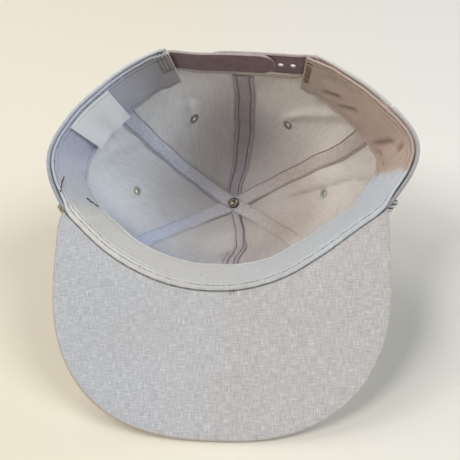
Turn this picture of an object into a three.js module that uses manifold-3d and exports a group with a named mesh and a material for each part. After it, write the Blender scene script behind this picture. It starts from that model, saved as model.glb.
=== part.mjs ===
// A six-panel snap-back cap with a cord across the front, lying upside down on its crown and brim tip.
//
// Cap frame, in millimetres: X to the right, Y from the brim to the back, Z out of the head opening.
// The front centre of the headband is the origin and the brim lies in the plane Z = 0.
// The crown is a cup hanging below that plane. The last step tips the whole cap on to the table.
//
// Crown cloth is placed by two numbers: an azimuth round the crown centre (0 is +X, 90 the back)
// and a distance from the top, measured along the cloth.

import * as THREE from "three";
import { mergeVertices } from "three/addons/utils/BufferGeometryUtils.js";
import Module from "manifold-3d";

const wasm = await Module();
wasm.setup();

// Cloth and gaps
const GAP = 0.3;
const TAPE_GAP = 0.65;
const PANEL_CLOTH = 1.4;
const TAPE_CLOTH = 0.8;
const BAND_CLOTH = 1.2;
const STRAP_SHEET = 1.2;
const LABEL_CLOTH = 0.5;

// Crown
const CROWN_CENTRE_X = -4;
const CROWN_CENTRE_Y = 77;
const CROWN_DEPTH = 112;
const WALL_CONTROL_DEPTH = 45;
const TOP_HOLE = 2.6;
const FLATTENED_BY = 2.8;
const FLAT_ROUNDING = 1.6;

// Brim
const BRIM_HALF_WIDTH = 91;
const BRIM_REACH = 90;
const BRIM_CENTRE_Y = 14;
const BRIM_ROUNDNESS = 2.5;
const BRIM_THICKNESS = 3;
const BRIM_EDGE_ROUND = 0.7;
const BRIM_FROM = -156;
const BRIM_TO = -22;

// Sweatband
const BAND_WIDTH = 31;
const BAND_RISE = 1.2;
const BAND_FROM = 113;
const BAND_TO = 404;

// Back opening and snap strap
const ARCH_CENTRE = 78;
const ARCH_HALF_SPREAD = 36;
const ARCH_HEIGHT = 45;
const BINDING_REACH = 4;
const BINDING_CLOTH = 0.9;
const STRAP_HEIGHT = 19;
const STRAP_RISE = 0.5;
const STRAP_BOW = 1.5;
const OUTER_TIP = 0.66;
const INNER_TIP = 0.32;
const STRAP_HOLES = [0.2, 0.29];

// Cord
const ROPE_RADIUS = 2.3;
const ROPE_DROP = 4.8;
const ROPE_CLEARANCE = 0.3;
const ROPE_FROM = -161;
const ROPE_TO = -16.5;

// Small parts
const BUTTON_RADIUS = 8;
const BUTTON_HEIGHT = 4.5;
const RIVET_RADIUS = 4;
const SHANK_RADIUS = 1.3;
const EYELET_HOLE = 1.1;
const EYELET_RADIUS = 3.3;
const EYELET_FROM_TOP = 79;

// The headband seen from above, every 15 degrees round the crown centre:
// reach is the distance out to it, rise its height over the brim plane,
// inset how far the wall leans in over its first 45 mm, and shoulder how boxy the top is.
const HEADBAND = [
  { azimuth: -180, reach: 95.5, rise: 2.6, inset: 15, shoulder: 60 },
  { azimuth: -165, reach: 92.0, rise: 0.6, inset: 15, shoulder: 56 },
  { azimuth: -150, reach: 83.8, rise: 0.0, inset: 15, shoulder: 50 },
  { azimuth: -135, reach: 79.3, rise: 0.0, inset: 16, shoulder: 47 },
  { azimuth: -120, reach: 76.8, rise: 0.0, inset: 16, shoulder: 46 },
  { azimuth: -105, reach: 76.2, rise: 0.0, inset: 16, shoulder: 45 },
  { azimuth: -90, reach: 76.6, rise: 0.0, inset: 16, shoulder: 45 },
  { azimuth: -75, reach: 78.2, rise: 0.0, inset: 16, shoulder: 45 },
  { azimuth: -60, reach: 80.2, rise: 0.0, inset: 17, shoulder: 46 },
  { azimuth: -45, reach: 82.9, rise: 0.0, inset: 17, shoulder: 48 },
  { azimuth: -30, reach: 89.6, rise: 0.0, inset: 18, shoulder: 50 },
  { azimuth: -15, reach: 103.2, rise: 0.8, inset: 23, shoulder: 52 },
  { azimuth: 0, reach: 111.5, rise: 3.2, inset: 26, shoulder: 55 },
  { azimuth: 15, reach: 97.5, rise: 6.2, inset: 15, shoulder: 58 },
  { azimuth: 30, reach: 84.5, rise: 8.5, inset: 8, shoulder: 62 },
  { azimuth: 45, reach: 76.0, rise: 9.8, inset: 2, shoulder: 66 },
  { azimuth: 60, reach: 71.0, rise: 10.4, inset: -6, shoulder: 68 },
  { azimuth: 75, reach: 67.0, rise: 10.6, inset: -11, shoulder: 68 },
  { azimuth: 90, reach: 65.0, rise: 10.7, inset: -11, shoulder: 67 },
  { azimuth: 105, reach: 64.5, rise: 10.7, inset: -6, shoulder: 66 },
  { azimuth: 120, reach: 66.5, rise: 10.5, inset: 3, shoulder: 65 },
  { azimuth: 135, reach: 70.6, rise: 9.6, inset: 6, shoulder: 64 },
  { azimuth: 150, reach: 76.5, rise: 8.2, inset: 9, shoulder: 63 },
  { azimuth: 165, reach: 86.5, rise: 5.8, inset: 12, shoulder: 62 },
];

// Seams, by their azimuth where they meet at the top and where they reach the headband.
const SEAMS = {
  front: { top: -78, hem: -80 },
  front_right: { top: -30, hem: -44 },
  back_right: { top: 28, hem: 12 },
  back: { top: 80, hem: 79 },
  back_left: { top: 144, hem: 148 },
  front_left: { top: -159, hem: -138 },
};
const SEAM_STRAIGHT = 110;

// Opposite seams share a tape. Layer 0 lies on the cloth and the others cross over it at the top.
const TAPES = [
  { name: "seam_tape_front_back", ends: ["front", "back"], width: 11, backWidth: 14.5, layer: 0 },
  {
    name: "seam_tape_left_diagonal",
    ends: ["front_left", "back_right"],
    width: 11,
    backWidth: 11,
    layer: 1,
  },
  {
    name: "seam_tape_right_diagonal",
    ends: ["front_right", "back_left"],
    width: 11,
    backWidth: 11,
    layer: 2,
  },
];

const PANELS = [
  { name: "panel_front_left", from: "front_left", to: "front" },
  { name: "panel_front_right", from: "front", to: "front_right" },
  { name: "panel_side_right", from: "front_right", to: "back_right" },
  { name: "panel_back_right", from: "back_right", to: "back" },
  { name: "panel_back_left", from: "back", to: "back_left" },
  { name: "panel_side_left", from: "back_left", to: "front_left" },
];

const EYELETS = [
  { name: "eyelet_side_left", azimuth: 178 },
  { name: "eyelet_side_right", azimuth: -2 },
  { name: "eyelet_back_left", azimuth: 115 },
  { name: "eyelet_back_right", azimuth: 49 },
];

// Dents (inward, positive) and swells (negative) of the soft crown.
const DENTS = [
  { azimuth: 4, fromTop: 62, push: 3.0, spread: 7, length: 34 },
  { azimuth: -12, fromTop: 70, push: -2.0, spread: 9, length: 30 },
  { azimuth: 62, fromTop: 82, push: 2.5, spread: 10, length: 14 },
  { azimuth: 104, fromTop: 96, push: 2.5, spread: 9, length: 16 },
  { azimuth: 160, fromTop: 70, push: 2.0, spread: 12, length: 24 },
  { azimuth: -94, fromTop: 88, push: 2.0, spread: 4, length: 22 },
  { azimuth: -112, fromTop: 60, push: -1.5, spread: 12, length: 25 },
];
const PANEL_SWELL = 1.2;

const radians = THREE.MathUtils.degToRad;
const { lerp, smoothstep } = THREE.MathUtils;

// A value of the headband table at any azimuth, smooth and running right round.
function headband(column, azimuth) {
  const rows = HEADBAND.length;
  const step = 360 / rows;
  const place = (((azimuth + 180) % 360) + 360) % 360 / step;
  const row = Math.floor(place);
  const t = place - row;
  const [a, b, c, d] = [-1, 0, 1, 2].map((k) => HEADBAND[(row + k + rows) % rows][column]);
  return b + 0.5 * t * (c - a + t * (2 * a - 5 * b + 4 * c - d + t * (3 * (b - c) + d - a)));
}

// The crown's profile at an azimuth: a cubic from the headband to the top, as points with lengths.
function meridian(azimuth) {
  const reach = headband("reach", azimuth);
  const points = [
    [0, -CROWN_DEPTH],
    [headband("shoulder", azimuth), -CROWN_DEPTH],
    [reach - headband("inset", azimuth), -WALL_CONTROL_DEPTH],
    [reach, headband("rise", azimuth)],
  ];
  const samples = [];
  const steps = 40;
  for (let i = 0; i <= steps; i++) {
    const t = i / steps;
    const weights = [(1 - t) ** 3, 3 * t * (1 - t) ** 2, 3 * t * t * (1 - t), t ** 3];
    const radius = weights.reduce((sum, w, k) => sum + w * points[k][0], 0);
    const height = weights.reduce((sum, w, k) => sum + w * points[k][1], 0);
    const last = samples[i - 1];
    const length = last ? last.length + Math.hypot(radius - last.radius, height - last.height) : 0;
    samples.push({ radius, height, length });
  }
  return samples;
}

const meridians = new Map();
function meridianAt(azimuth) {
  const key = azimuth.toFixed(4);
  if (!meridians.has(key)) meridians.set(key, meridian(azimuth));
  return meridians.get(key);
}

// Length of the cloth from the top to the headband.
function fullLength(azimuth) {
  return meridianAt(azimuth).at(-1).length;
}

function angleBetween(a, b) {
  return ((((a - b) % 360) + 540) % 360) - 180;
}

// The azimuth of a seam at a distance from the top.
function seamAzimuth(name, fromTop) {
  const { top, hem } = SEAMS[name];
  return lerp(top, hem, Math.min(1, fromTop / SEAM_STRAIGHT));
}

// How far the cloth is pushed in from its smooth profile.
function relief(azimuth, fromTop) {
  let push = 0;
  for (const dent of DENTS) {
    const across = angleBetween(azimuth, dent.azimuth) / dent.spread;
    const along = (fromTop - dent.fromTop) / dent.length;
    push += dent.push * Math.exp(-across * across - along * along);
  }
  const seams = Object.keys(SEAMS).map((name) => angleBetween(azimuth, seamAzimuth(name, fromTop)));
  const before = Math.min(...seams.filter((angle) => angle >= 0));
  const after = Math.min(...seams.filter((angle) => angle < 0).map((angle) => -angle));
  const share = before / (before + after);
  const along = Math.min(1, fromTop / fullLength(azimuth));
  return push - PANEL_SWELL * Math.sin(Math.PI * share) ** 2 * Math.sin(Math.PI * along);
}

// The smooth cup, without dents. Past the headband it runs straight on.
function cup(azimuth, fromTop) {
  const samples = meridianAt(azimuth);
  let i = 1;
  while (i < samples.length - 1 && samples[i].length < fromTop) i++;
  const a = samples[i - 1];
  const b = samples[i];
  const t = (fromTop - a.length) / (b.length - a.length);
  const radius = lerp(a.radius, b.radius, t);
  return new THREE.Vector3(
    CROWN_CENTRE_X + radius * Math.cos(radians(azimuth)),
    CROWN_CENTRE_Y + radius * Math.sin(radians(azimuth)),
    lerp(a.height, b.height, t),
  );
}

// Unit vector into the hollow, from the differences of a surface at a place.
function inwardNormal(surface, azimuth, fromTop) {
  const top = Math.max(fromTop, 3);
  const turn = 60 / top;
  const along = surface(azimuth, top + 1).sub(surface(azimuth, top - 1));
  const around = surface(azimuth + turn, top).sub(surface(azimuth - turn, top));
  const normal = along.cross(around).normalize();
  if (fromTop < 12) normal.lerp(new THREE.Vector3(0, 0, 1), 1 - fromTop / 12).normalize();
  return normal;
}

// The dented cup, before the table flattens it.
function dentedCup(azimuth, fromTop) {
  const fade = smoothstep(fromTop, 8, 30) * smoothstep(fullLength(azimuth) - fromTop, 0, 25);
  const point = cup(azimuth, fromTop);
  if (fade === 0) return point;
  const push = fade * relief(azimuth, fromTop);
  return point.addScaledVector(inwardNormal(cup, azimuth, fromTop), push);
}

// Height over the table of a place in the cap frame, once the cap is tipped by an angle.
function tippedHeight(point, tip) {
  return point.y * Math.sin(tip) + point.z * Math.cos(tip);
}

// The lowest point of the brim's rounded front edge.
const EDGE_SAG = BRIM_EDGE_ROUND * (1 - Math.SQRT1_2);
const BRIM_TIP = new THREE.Vector3(
  0,
  BRIM_CENTRE_Y - BRIM_REACH + EDGE_SAG,
  EDGE_SAG - BRIM_THICKNESS / 2,
);

// The brim's tip and the crown's front shoulder touch the table at this angle,
// with the crown pressed flat by a little.
function restingTip() {
  const shoulder = [];
  for (let azimuth = -150; azimuth <= -20; azimuth += 5)
    for (let fromTop = 20; fromTop <= 120; fromTop += 4)
      shoulder.push(dentedCup(azimuth, fromTop));
  let low = radians(25);
  let high = radians(60);
  for (let i = 0; i < 40; i++) {
    const tip = (low + high) / 2;
    const crown = Math.min(...shoulder.map((p) => tippedHeight(p, tip))) - PANEL_CLOTH;
    if (crown + FLATTENED_BY > tippedHeight(BRIM_TIP, tip)) high = tip;
    else low = tip;
  }
  return (low + high) / 2;
}

const TIP = restingTip();
const TABLE = tippedHeight(BRIM_TIP, TIP);

// The inner face of the crown cloth, pressed flat where it would go below the table.
function crown(azimuth, fromTop) {
  const point = dentedCup(azimuth, fromTop);
  const below = TABLE + PANEL_CLOTH - tippedHeight(point, TIP);
  const rounded = Math.max(0, FLAT_ROUNDING - Math.abs(below)) ** 2 / (4 * FLAT_ROUNDING);
  const lift = Math.max(0, below) + rounded;
  point.y += lift * Math.sin(TIP);
  point.z += lift * Math.cos(TIP);
  return point;
}

// A place on the crown, moved into the hollow by an offset (negative is outward).
function onCrown(azimuth, fromTop, offset) {
  return crown(azimuth, fromTop).addScaledVector(inwardNormal(crown, azimuth, fromTop), offset);
}

// A closed sheet between two grids of points, the first on its back and the second on its face.
function sheet(back, face) {
  const rows = back.length;
  const columns = back[0].length;
  const positions = [...back, ...face].flat().flatMap((p) => p.toArray());
  const at = (side, i, j) => (side * rows + i) * columns + j;
  const index = [];
  const quad = (a, b, c, d) => index.push(a, b, c, a, c, d);
  for (let i = 0; i + 1 < rows; i++)
    for (let j = 0; j + 1 < columns; j++) {
      quad(at(0, i, j), at(0, i, j + 1), at(0, i + 1, j + 1), at(0, i + 1, j));
      quad(at(1, i, j), at(1, i + 1, j), at(1, i + 1, j + 1), at(1, i, j + 1));
    }
  for (let i = 0; i + 1 < rows; i++)
    for (const [j, flip] of [[0, false], [columns - 1, true]]) {
      const ring = [at(0, i, j), at(0, i + 1, j), at(1, i + 1, j), at(1, i, j)];
      quad(...(flip ? ring.reverse() : ring));
    }
  for (let j = 0; j + 1 < columns; j++)
    for (const [i, flip] of [[0, true], [rows - 1, false]]) {
      const ring = [at(0, i, j), at(0, i, j + 1), at(1, i, j + 1), at(1, i, j)];
      quad(...(flip ? ring.reverse() : ring));
    }
  return outward(positions, index);
}

// A closed solid through a row of equal rings. The flat ends are filled from the rings' plan,
// a list of [x, y] corners.
function loft(rings, plan) {
  const sides = rings[0].length;
  const positions = rings.flat().flatMap((p) => p.toArray());
  const index = [];
  for (let i = 0; i + 1 < rings.length; i++)
    for (let j = 0; j < sides; j++) {
      const next = (j + 1) % sides;
      const [a, b] = [i * sides + j, i * sides + next];
      const [c, d] = [(i + 1) * sides + next, (i + 1) * sides + j];
      index.push(a, b, c, a, c, d);
    }
  const corners = plan.map(([x, y]) => new THREE.Vector2(x, y));
  const turnsLeft = THREE.ShapeUtils.area(corners) > 0;
  const end = (rings.length - 1) * sides;
  for (const [a, b, c] of THREE.ShapeUtils.triangulateShape(corners, [])) {
    const [start, finish] = turnsLeft ? [[a, c, b], [a, b, c]] : [[a, b, c], [a, c, b]];
    index.push(...start, ...finish.map((k) => k + end));
  }
  return outward(positions, index);
}

// Indexed geometry whose faces point out, whichever way they were written.
function outward(positions, index) {
  let volume = 0;
  const corner = (k) => new THREE.Vector3().fromArray(positions, 3 * index[k]);
  for (let k = 0; k < index.length; k += 3)
    volume += corner(k).dot(corner(k + 1).cross(corner(k + 2)));
  if (volume < 0)
    for (let k = 0; k < index.length; k += 3)
      [index[k], index[k + 1]] = [index[k + 1], index[k]];
  const geometry = new THREE.BufferGeometry();
  geometry.setAttribute("position", new THREE.Float32BufferAttribute(positions, 3));
  geometry.setIndex(index);
  return geometry;
}

// Booleans
function toManifold(geometry) {
  const bare = geometry.clone();
  bare.deleteAttribute("normal");
  bare.deleteAttribute("uv");
  const merged = mergeVertices(bare, 1e-4);
  return new wasm.Manifold(
    new wasm.Mesh({
      numProp: 3,
      vertProperties: merged.attributes.position.array,
      triVerts: new Uint32Array(merged.index.array),
    }),
  );
}

function fromManifold(solid) {
  const mesh = solid.getMesh();
  const geometry = new THREE.BufferGeometry();
  geometry.setAttribute("position", new THREE.BufferAttribute(new Float32Array(mesh.vertProperties), 3));
  geometry.setIndex(new THREE.BufferAttribute(new Uint32Array(mesh.triVerts), 1));
  return geometry;
}

function cut(geometry, ...tools) {
  return fromManifold(tools.map(toManifold).reduce((a, b) => a.subtract(b), toManifold(geometry)));
}

// Turns a shape whose axis is +Z so that it stands on the crown, its +Z into the hollow.
function standOnCrown(geometry, azimuth, fromTop, offset = 0) {
  const normal = inwardNormal(crown, azimuth, fromTop);
  const turn = new THREE.Quaternion().setFromUnitVectors(new THREE.Vector3(0, 0, 1), normal);
  const place = onCrown(azimuth, fromTop, offset);
  return geometry.applyMatrix4(new THREE.Matrix4().compose(place, turn, new THREE.Vector3(1, 1, 1)));
}

// A turned shape about +Z from a closed profile of radius and height.
function turned(profile, segments) {
  const points = profile.map(([radius, height]) => new THREE.Vector2(radius, height));
  const geometry = new THREE.LatheGeometry(points, segments).rotateX(Math.PI / 2);
  geometry.deleteAttribute("normal");
  geometry.deleteAttribute("uv");
  const merged = mergeVertices(geometry, 1e-4);
  return outward([...merged.attributes.position.array], [...merged.index.array]);
}

function cylinder(radius, length) {
  return turned([[0, -length / 2], [radius, -length / 2], [radius, length / 2], [0, length / 2]], 16);
}

const group = new THREE.Group();
group.name = "rope_cap";

function add(name, geometry, colour, roughness, metalness = 0) {
  const flat = geometry.index ? geometry.toNonIndexed() : geometry;
  flat.computeVertexNormals();
  const material = new THREE.MeshStandardMaterial({ color: colour, roughness, metalness });
  const mesh = new THREE.Mesh(flat, material);
  mesh.name = name;
  group.add(mesh);
}

// Places along the headband between two azimuths
function headbandPlaces(from, to, count) {
  return Array.from({ length: count + 1 }, (_, i) => {
    const azimuth = lerp(from, to, i / count);
    return { azimuth, fromTop: fullLength(azimuth) };
  });
}

// The edge of the back opening between two angles round its half ellipse (0 is its right end).
function archPlaces(fromAngle, toAngle, count) {
  const places = [];
  for (let i = 0; i <= count; i++) {
    const angle = radians(lerp(fromAngle, toAngle, i / count));
    const azimuth = ARCH_CENTRE + ARCH_HALF_SPREAD * Math.cos(angle);
    places.push({ azimuth, fromTop: fullLength(azimuth) - ARCH_HEIGHT * Math.sin(angle) });
  }
  return places;
}

function seamGap(fromTop) {
  return THREE.MathUtils.radToDeg((GAP / 2) / Math.max(fromTop, TOP_HOLE));
}

// Crown panels, each a sheet from the top hole to the hem between two seams.
const PANEL_ROWS = 15;
const HEM_STEPS = 10;
const SHORT_HEM_STEPS = 5;
const ARCH_STEPS = 8;
function panelHem(from, to) {
  const archFrom = ARCH_CENTRE - ARCH_HALF_SPREAD;
  const archTo = ARCH_CENTRE + ARCH_HALF_SPREAD;
  const angleAt = (azimuth) =>
    THREE.MathUtils.radToDeg(Math.acos((azimuth - ARCH_CENTRE) / ARCH_HALF_SPREAD));
  if (from < archFrom && to > archFrom) {
    const arch = archPlaces(180, angleAt(to), ARCH_STEPS);
    return [...headbandPlaces(from, archFrom, SHORT_HEM_STEPS), ...arch.slice(1)];
  }
  if (from < archTo && to > archTo) {
    const hem = headbandPlaces(archTo, to, SHORT_HEM_STEPS);
    return [...archPlaces(angleAt(from), 0, ARCH_STEPS), ...hem.slice(1)];
  }
  return headbandPlaces(from, to, HEM_STEPS);
}

function crownPanel(from, to) {
  const wrap = SEAMS[to].hem < SEAMS[from].hem ? 360 : 0;
  const hem = panelHem(SEAMS[from].hem, SEAMS[to].hem + wrap);
  const back = [];
  const face = [];
  hem.forEach((place, i) => {
    const topShare = i / (hem.length - 1);
    const start = seamAzimuth(from, place.fromTop);
    const hemShare = (place.azimuth - start) / (seamAzimuth(to, place.fromTop) + wrap - start);
    const side = i === 0 ? 1 : i === hem.length - 1 ? -1 : 0;
    const outer = [];
    const inner = [];
    for (let j = 0; j <= PANEL_ROWS; j++) {
      const down = j / PANEL_ROWS;
      const fromTop = lerp(TOP_HOLE, place.fromTop, down);
      const across = side ? topShare : lerp(topShare, hemShare, down);
      const onSeams = lerp(seamAzimuth(from, fromTop), seamAzimuth(to, fromTop) + wrap, across);
      const azimuth = onSeams + side * seamGap(fromTop);
      outer.push(onCrown(azimuth, fromTop, -PANEL_CLOTH));
      inner.push(crown(azimuth, fromTop));
    }
    back.push(outer);
    face.push(inner);
  });
  return sheet(back, face);
}

function isBetween(azimuth, from, to, fromTop) {
  const span = angleBetween(seamAzimuth(to, fromTop), seamAzimuth(from, fromTop));
  const into = angleBetween(azimuth, seamAzimuth(from, fromTop));
  return into > 0 && into < span;
}

const EYELET_ROOM = 1.6;
for (const { name, from, to } of PANELS) {
  const here = EYELETS.filter(({ azimuth }) => isBetween(azimuth, from, to, EYELET_FROM_TOP));
  const holes = here.map(({ azimuth }) =>
    standOnCrown(cylinder(EYELET_HOLE + EYELET_ROOM, 12), azimuth, EYELET_FROM_TOP),
  );
  const panel = crownPanel(from, to);
  add(name, holes.length ? cut(panel, ...holes) : panel, 0xc6c8cb, 0.95);
}

// Seam tapes. Each crosses the top in one piece, lying over the tapes under it.
const LAYER_STEP = TAPE_CLOTH + GAP;
const TAPE_ROWS = 30;

// Where a tape runs: along is measured from the top, positive towards its first seam.
// Close to the top it runs straight through, halfway between its two seams.
function tapePlace(ends, along, across) {
  const far = Math.abs(along);
  const first = seamAzimuth(ends[0], far);
  const second = seamAzimuth(ends[1], far) - 180;
  const straight = second + angleBetween(first, second) / 2;
  const [seam, through, sign] =
    along < 0 ? [second + 180, straight + 180, -1] : [first, straight, 1];
  const bent = smoothstep(far, 6, 30) * angleBetween(seam, through);
  const probe = Math.max(far, 6);
  const width = crown(seam + 1, probe).distanceTo(crown(seam - 1, probe)) / radians(2);
  const sideways = sign * across * (probe / width);
  const azimuth = through + bent + THREE.MathUtils.radToDeg(Math.atan2(sideways, far));
  return { azimuth, fromTop: Math.hypot(along, across) };
}

for (const { name, ends, width, backWidth, layer } of TAPES) {
  const lengths = ends.map((end) => {
    const short = end === "back" ? ARCH_HEIGHT + BINDING_REACH + 1 : 2;
    return fullLength(SEAMS[end].hem) - short;
  });
  const back = [];
  const face = [];
  for (let i = 0; i <= TAPE_ROWS; i++) {
    const along = lerp(-lengths[1], lengths[0], i / TAPE_ROWS);
    const wide = lerp(width, backWidth, smoothstep(-along, 10, 60));
    const places = [-1, -0.5, 0, 0.5, 1].map((side) => tapePlace(ends, along, (wide / 2) * side));
    const lift = (fromTop) => TAPE_GAP + layer * LAYER_STEP * (1 - smoothstep(fromTop, 20, 34));
    const row = (extra) =>
      places.map(({ azimuth, fromTop }) => onCrown(azimuth, fromTop, lift(fromTop) + extra));
    back.push(row(0));
    face.push(row(TAPE_CLOTH));
  }
  const hole = cylinder(SHANK_RADIUS + GAP, 30);
  hole.translate(CROWN_CENTRE_X, CROWN_CENTRE_Y, -CROWN_DEPTH);
  add(name, cut(sheet(back, face), hole), 0xa9a7ae, 0.95);
}

// Sweatband: a strip hanging from the headband inside the crown, standing off it towards its free edge.
function standOff(azimuth) {
  return 1.5 + 3.5 * Math.max(0, Math.cos(radians(angleBetween(azimuth, -90)))) ** 2;
}

const BAND_LIFT = TAPE_CLOTH + TAPE_GAP + GAP;
const STRAP_ROOM = 1.3;
function onBand(azimuth, down, offset) {
  const nearEnd = 1 - smoothstep(Math.min(azimuth - BAND_FROM, BAND_TO - azimuth), 4, 14);
  const spread = standOff(azimuth) * smoothstep(down, 0, BAND_WIDTH);
  const away = BAND_LIFT + STRAP_ROOM * nearEnd + spread + offset;
  return onCrown(azimuth, fullLength(azimuth) - down, away);
}

function bandSheet(from, to, top, bottom, lift, cloth, columns, rows) {
  const back = [];
  const face = [];
  for (let i = 0; i <= columns; i++) {
    const azimuth = lerp(from, to, i / columns);
    const downs = Array.from({ length: rows + 1 }, (_, j) => lerp(top, bottom, j / rows));
    back.push(downs.map((down) => onBand(azimuth, down, lift)));
    face.push(downs.map((down) => onBand(azimuth, down, lift + cloth)));
  }
  return sheet(back, face);
}

add(
  "sweatband",
  bandSheet(BAND_FROM, BAND_TO, -BAND_RISE, BAND_WIDTH, 0, BAND_CLOTH, 52, 3),
  0xd2cec8,
  0.9,
);

// Label sewn to the face of the sweatband
const LABEL_FROM = 146.5;
const LABEL_TO = 168.5;
const LABEL_TOP = 3;
add(
  "label",
  bandSheet(LABEL_FROM, LABEL_TO, LABEL_TOP, BAND_WIDTH - 0.6, BAND_CLOTH + GAP, LABEL_CLOTH, 8, 3),
  0xf2f2f0,
  0.8,
);

// Binding folded over the edge of the back opening: a channel, as [depth into the cloth, lift]
const bindingOuter = -(PANEL_CLOTH + GAP + BINDING_CLOTH);
const BINDING_PROFILE = [
  [BINDING_REACH, bindingOuter],
  [BINDING_REACH, -(PANEL_CLOTH + GAP)],
  [-GAP, -(PANEL_CLOTH + GAP)],
  [-GAP, GAP],
  [BINDING_REACH, GAP],
  [BINDING_REACH, GAP + BINDING_CLOTH],
  [-GAP - BINDING_CLOTH, GAP + BINDING_CLOTH],
  [-GAP - BINDING_CLOTH, bindingOuter],
];
function bindingRing({ azimuth, fromTop }, before, after) {
  const here = crown(azimuth, fromTop);
  const along = crown(after.azimuth, after.fromTop).sub(crown(before.azimuth, before.fromTop));
  const normal = inwardNormal(crown, azimuth, fromTop);
  const intoCloth = new THREE.Vector3().crossVectors(normal, along).normalize();
  return BINDING_PROFILE.map(([depth, lift]) =>
    here.clone().addScaledVector(intoCloth, depth).addScaledVector(normal, lift),
  );
}

const archEdge = archPlaces(155, 25, 16);
const bindingRings = archEdge.map((place, i) =>
  bindingRing(place, archEdge[Math.max(0, i - 1)], archEdge[Math.min(archEdge.length - 1, i + 1)]),
);
add("back_opening_binding", loft(bindingRings, BINDING_PROFILE), 0x9d9ba3, 0.95);

// Brim: a flat board whose back edge follows the crown
const BRIM_BACK_STEPS = 26;
const BRIM_FRONT_STEPS = 34;
const BRIM_EAR = 2;
function brimBackEdge() {
  const clearance = PANEL_CLOTH + GAP;
  return Array.from({ length: BRIM_BACK_STEPS + 1 }, (_, i) => {
    const azimuth = lerp(BRIM_FROM, BRIM_TO, i / BRIM_BACK_STEPS);
    const here = crown(azimuth, fullLength(azimuth));
    const ahead = crown(azimuth + 1, fullLength(azimuth + 1)).sub(here);
    const out = new THREE.Vector2(ahead.y, -ahead.x).normalize();
    return [here.x + out.x * clearance, here.y + out.y * clearance];
  });
}

// The front edge is a squared-off half ellipse, from right to left.
function brimFrontEdge() {
  const power = 2 / BRIM_ROUNDNESS;
  return Array.from({ length: BRIM_FRONT_STEPS + 1 }, (_, i) => {
    const angle = radians(lerp(0, -180, i / BRIM_FRONT_STEPS));
    const across = Math.sign(Math.cos(angle)) * Math.abs(Math.cos(angle)) ** power;
    const ahead = Math.abs(Math.sin(angle)) ** power;
    return [across * BRIM_HALF_WIDTH, BRIM_CENTRE_Y - BRIM_REACH * ahead];
  });
}

function brim() {
  const backEdge = brimBackEdge();
  const [left, right] = [backEdge[0], backEdge.at(-1)];
  const corners = [
    ...backEdge,
    [right[0] + BRIM_EAR, right[1] + 1.5],
    [BRIM_HALF_WIDTH + 0.4, right[1] - 4],
    ...brimFrontEdge(),
    [-BRIM_HALF_WIDTH - 0.4, left[1] - 3],
    [left[0] - BRIM_EAR, left[1] + 1.5],
  ];
  const outline = new THREE.Shape(corners.map(([x, y]) => new THREE.Vector2(x, y)));
  const geometry = new THREE.ExtrudeGeometry(outline, {
    depth: BRIM_THICKNESS - 2 * BRIM_EDGE_ROUND,
    bevelThickness: BRIM_EDGE_ROUND,
    bevelSize: BRIM_EDGE_ROUND,
    bevelOffset: -BRIM_EDGE_ROUND,
    bevelSegments: 2,
    curveSegments: 1,
  });
  return geometry.translate(0, 0, BRIM_EDGE_ROUND - BRIM_THICKNESS / 2);
}
add("brim", brim(), 0xc4c2c4, 0.95);

// Cord lying in the corner of crown and brim, and round the brim's two ends
const ROPE_BENDS = 40;
function ropePath() {
  const outward = -(PANEL_CLOTH + ROPE_CLEARANCE + ROPE_RADIUS);
  const places = Array.from({ length: ROPE_BENDS + 1 }, (_, i) => {
    const azimuth = lerp(ROPE_FROM, ROPE_TO, i / ROPE_BENDS);
    return onCrown(azimuth, fullLength(azimuth) - ROPE_DROP, outward);
  });
  return new THREE.CatmullRomCurve3(places);
}

function tube(extrudePath, radius, steps, curveSegments) {
  const circle = new THREE.Shape().absarc(0, 0, radius, 0, 2 * Math.PI);
  return new THREE.ExtrudeGeometry(circle, {
    steps,
    extrudePath,
    curveSegments,
    bevelEnabled: false,
  });
}
add("rope", tube(ropePath(), ROPE_RADIUS, 48, 4), 0xe6e0d2, 0.9);

// Snap strap: two overlapping plastic bands across the back opening.
// Each end lies flat on the crown cloth, under the sweatband; between them the strap runs straight.
const STRAP_LIFT = 0.4;
const STRAP_RIGHT_END = [33, 37, 41];
const STRAP_LEFT_END = [115, 119, 123];
const STRAP_FREE_SHARES = [0.15, 0.4, 0.6, 0.85];
function strapEdge(down) {
  const onCloth = (azimuth) => onCrown(azimuth, fullLength(azimuth) - down, STRAP_LIFT);
  const right = STRAP_RIGHT_END.map(onCloth);
  const left = STRAP_LEFT_END.map(onCloth);
  const between = STRAP_FREE_SHARES.map((share) => {
    const place = right.at(-1).clone().lerp(left[0], share);
    place.y += STRAP_BOW * Math.sin(Math.PI * share);
    return place;
  });
  return new THREE.CatmullRomCurve3([...right, ...between, ...left]);
}
const strapTop = strapEdge(-STRAP_RISE);
const strapFoot = strapEdge(STRAP_HEIGHT - STRAP_RISE);

function strapPlace(share, up, lift) {
  const tangent = strapTop.getTangentAt(share);
  const inward = new THREE.Vector3(-tangent.y, tangent.x, 0).normalize();
  if (inward.y > 0) inward.negate();
  const place = strapFoot.getPointAt(share).lerp(strapTop.getPointAt(share), up);
  return place.addScaledVector(inward, lift);
}

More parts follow.
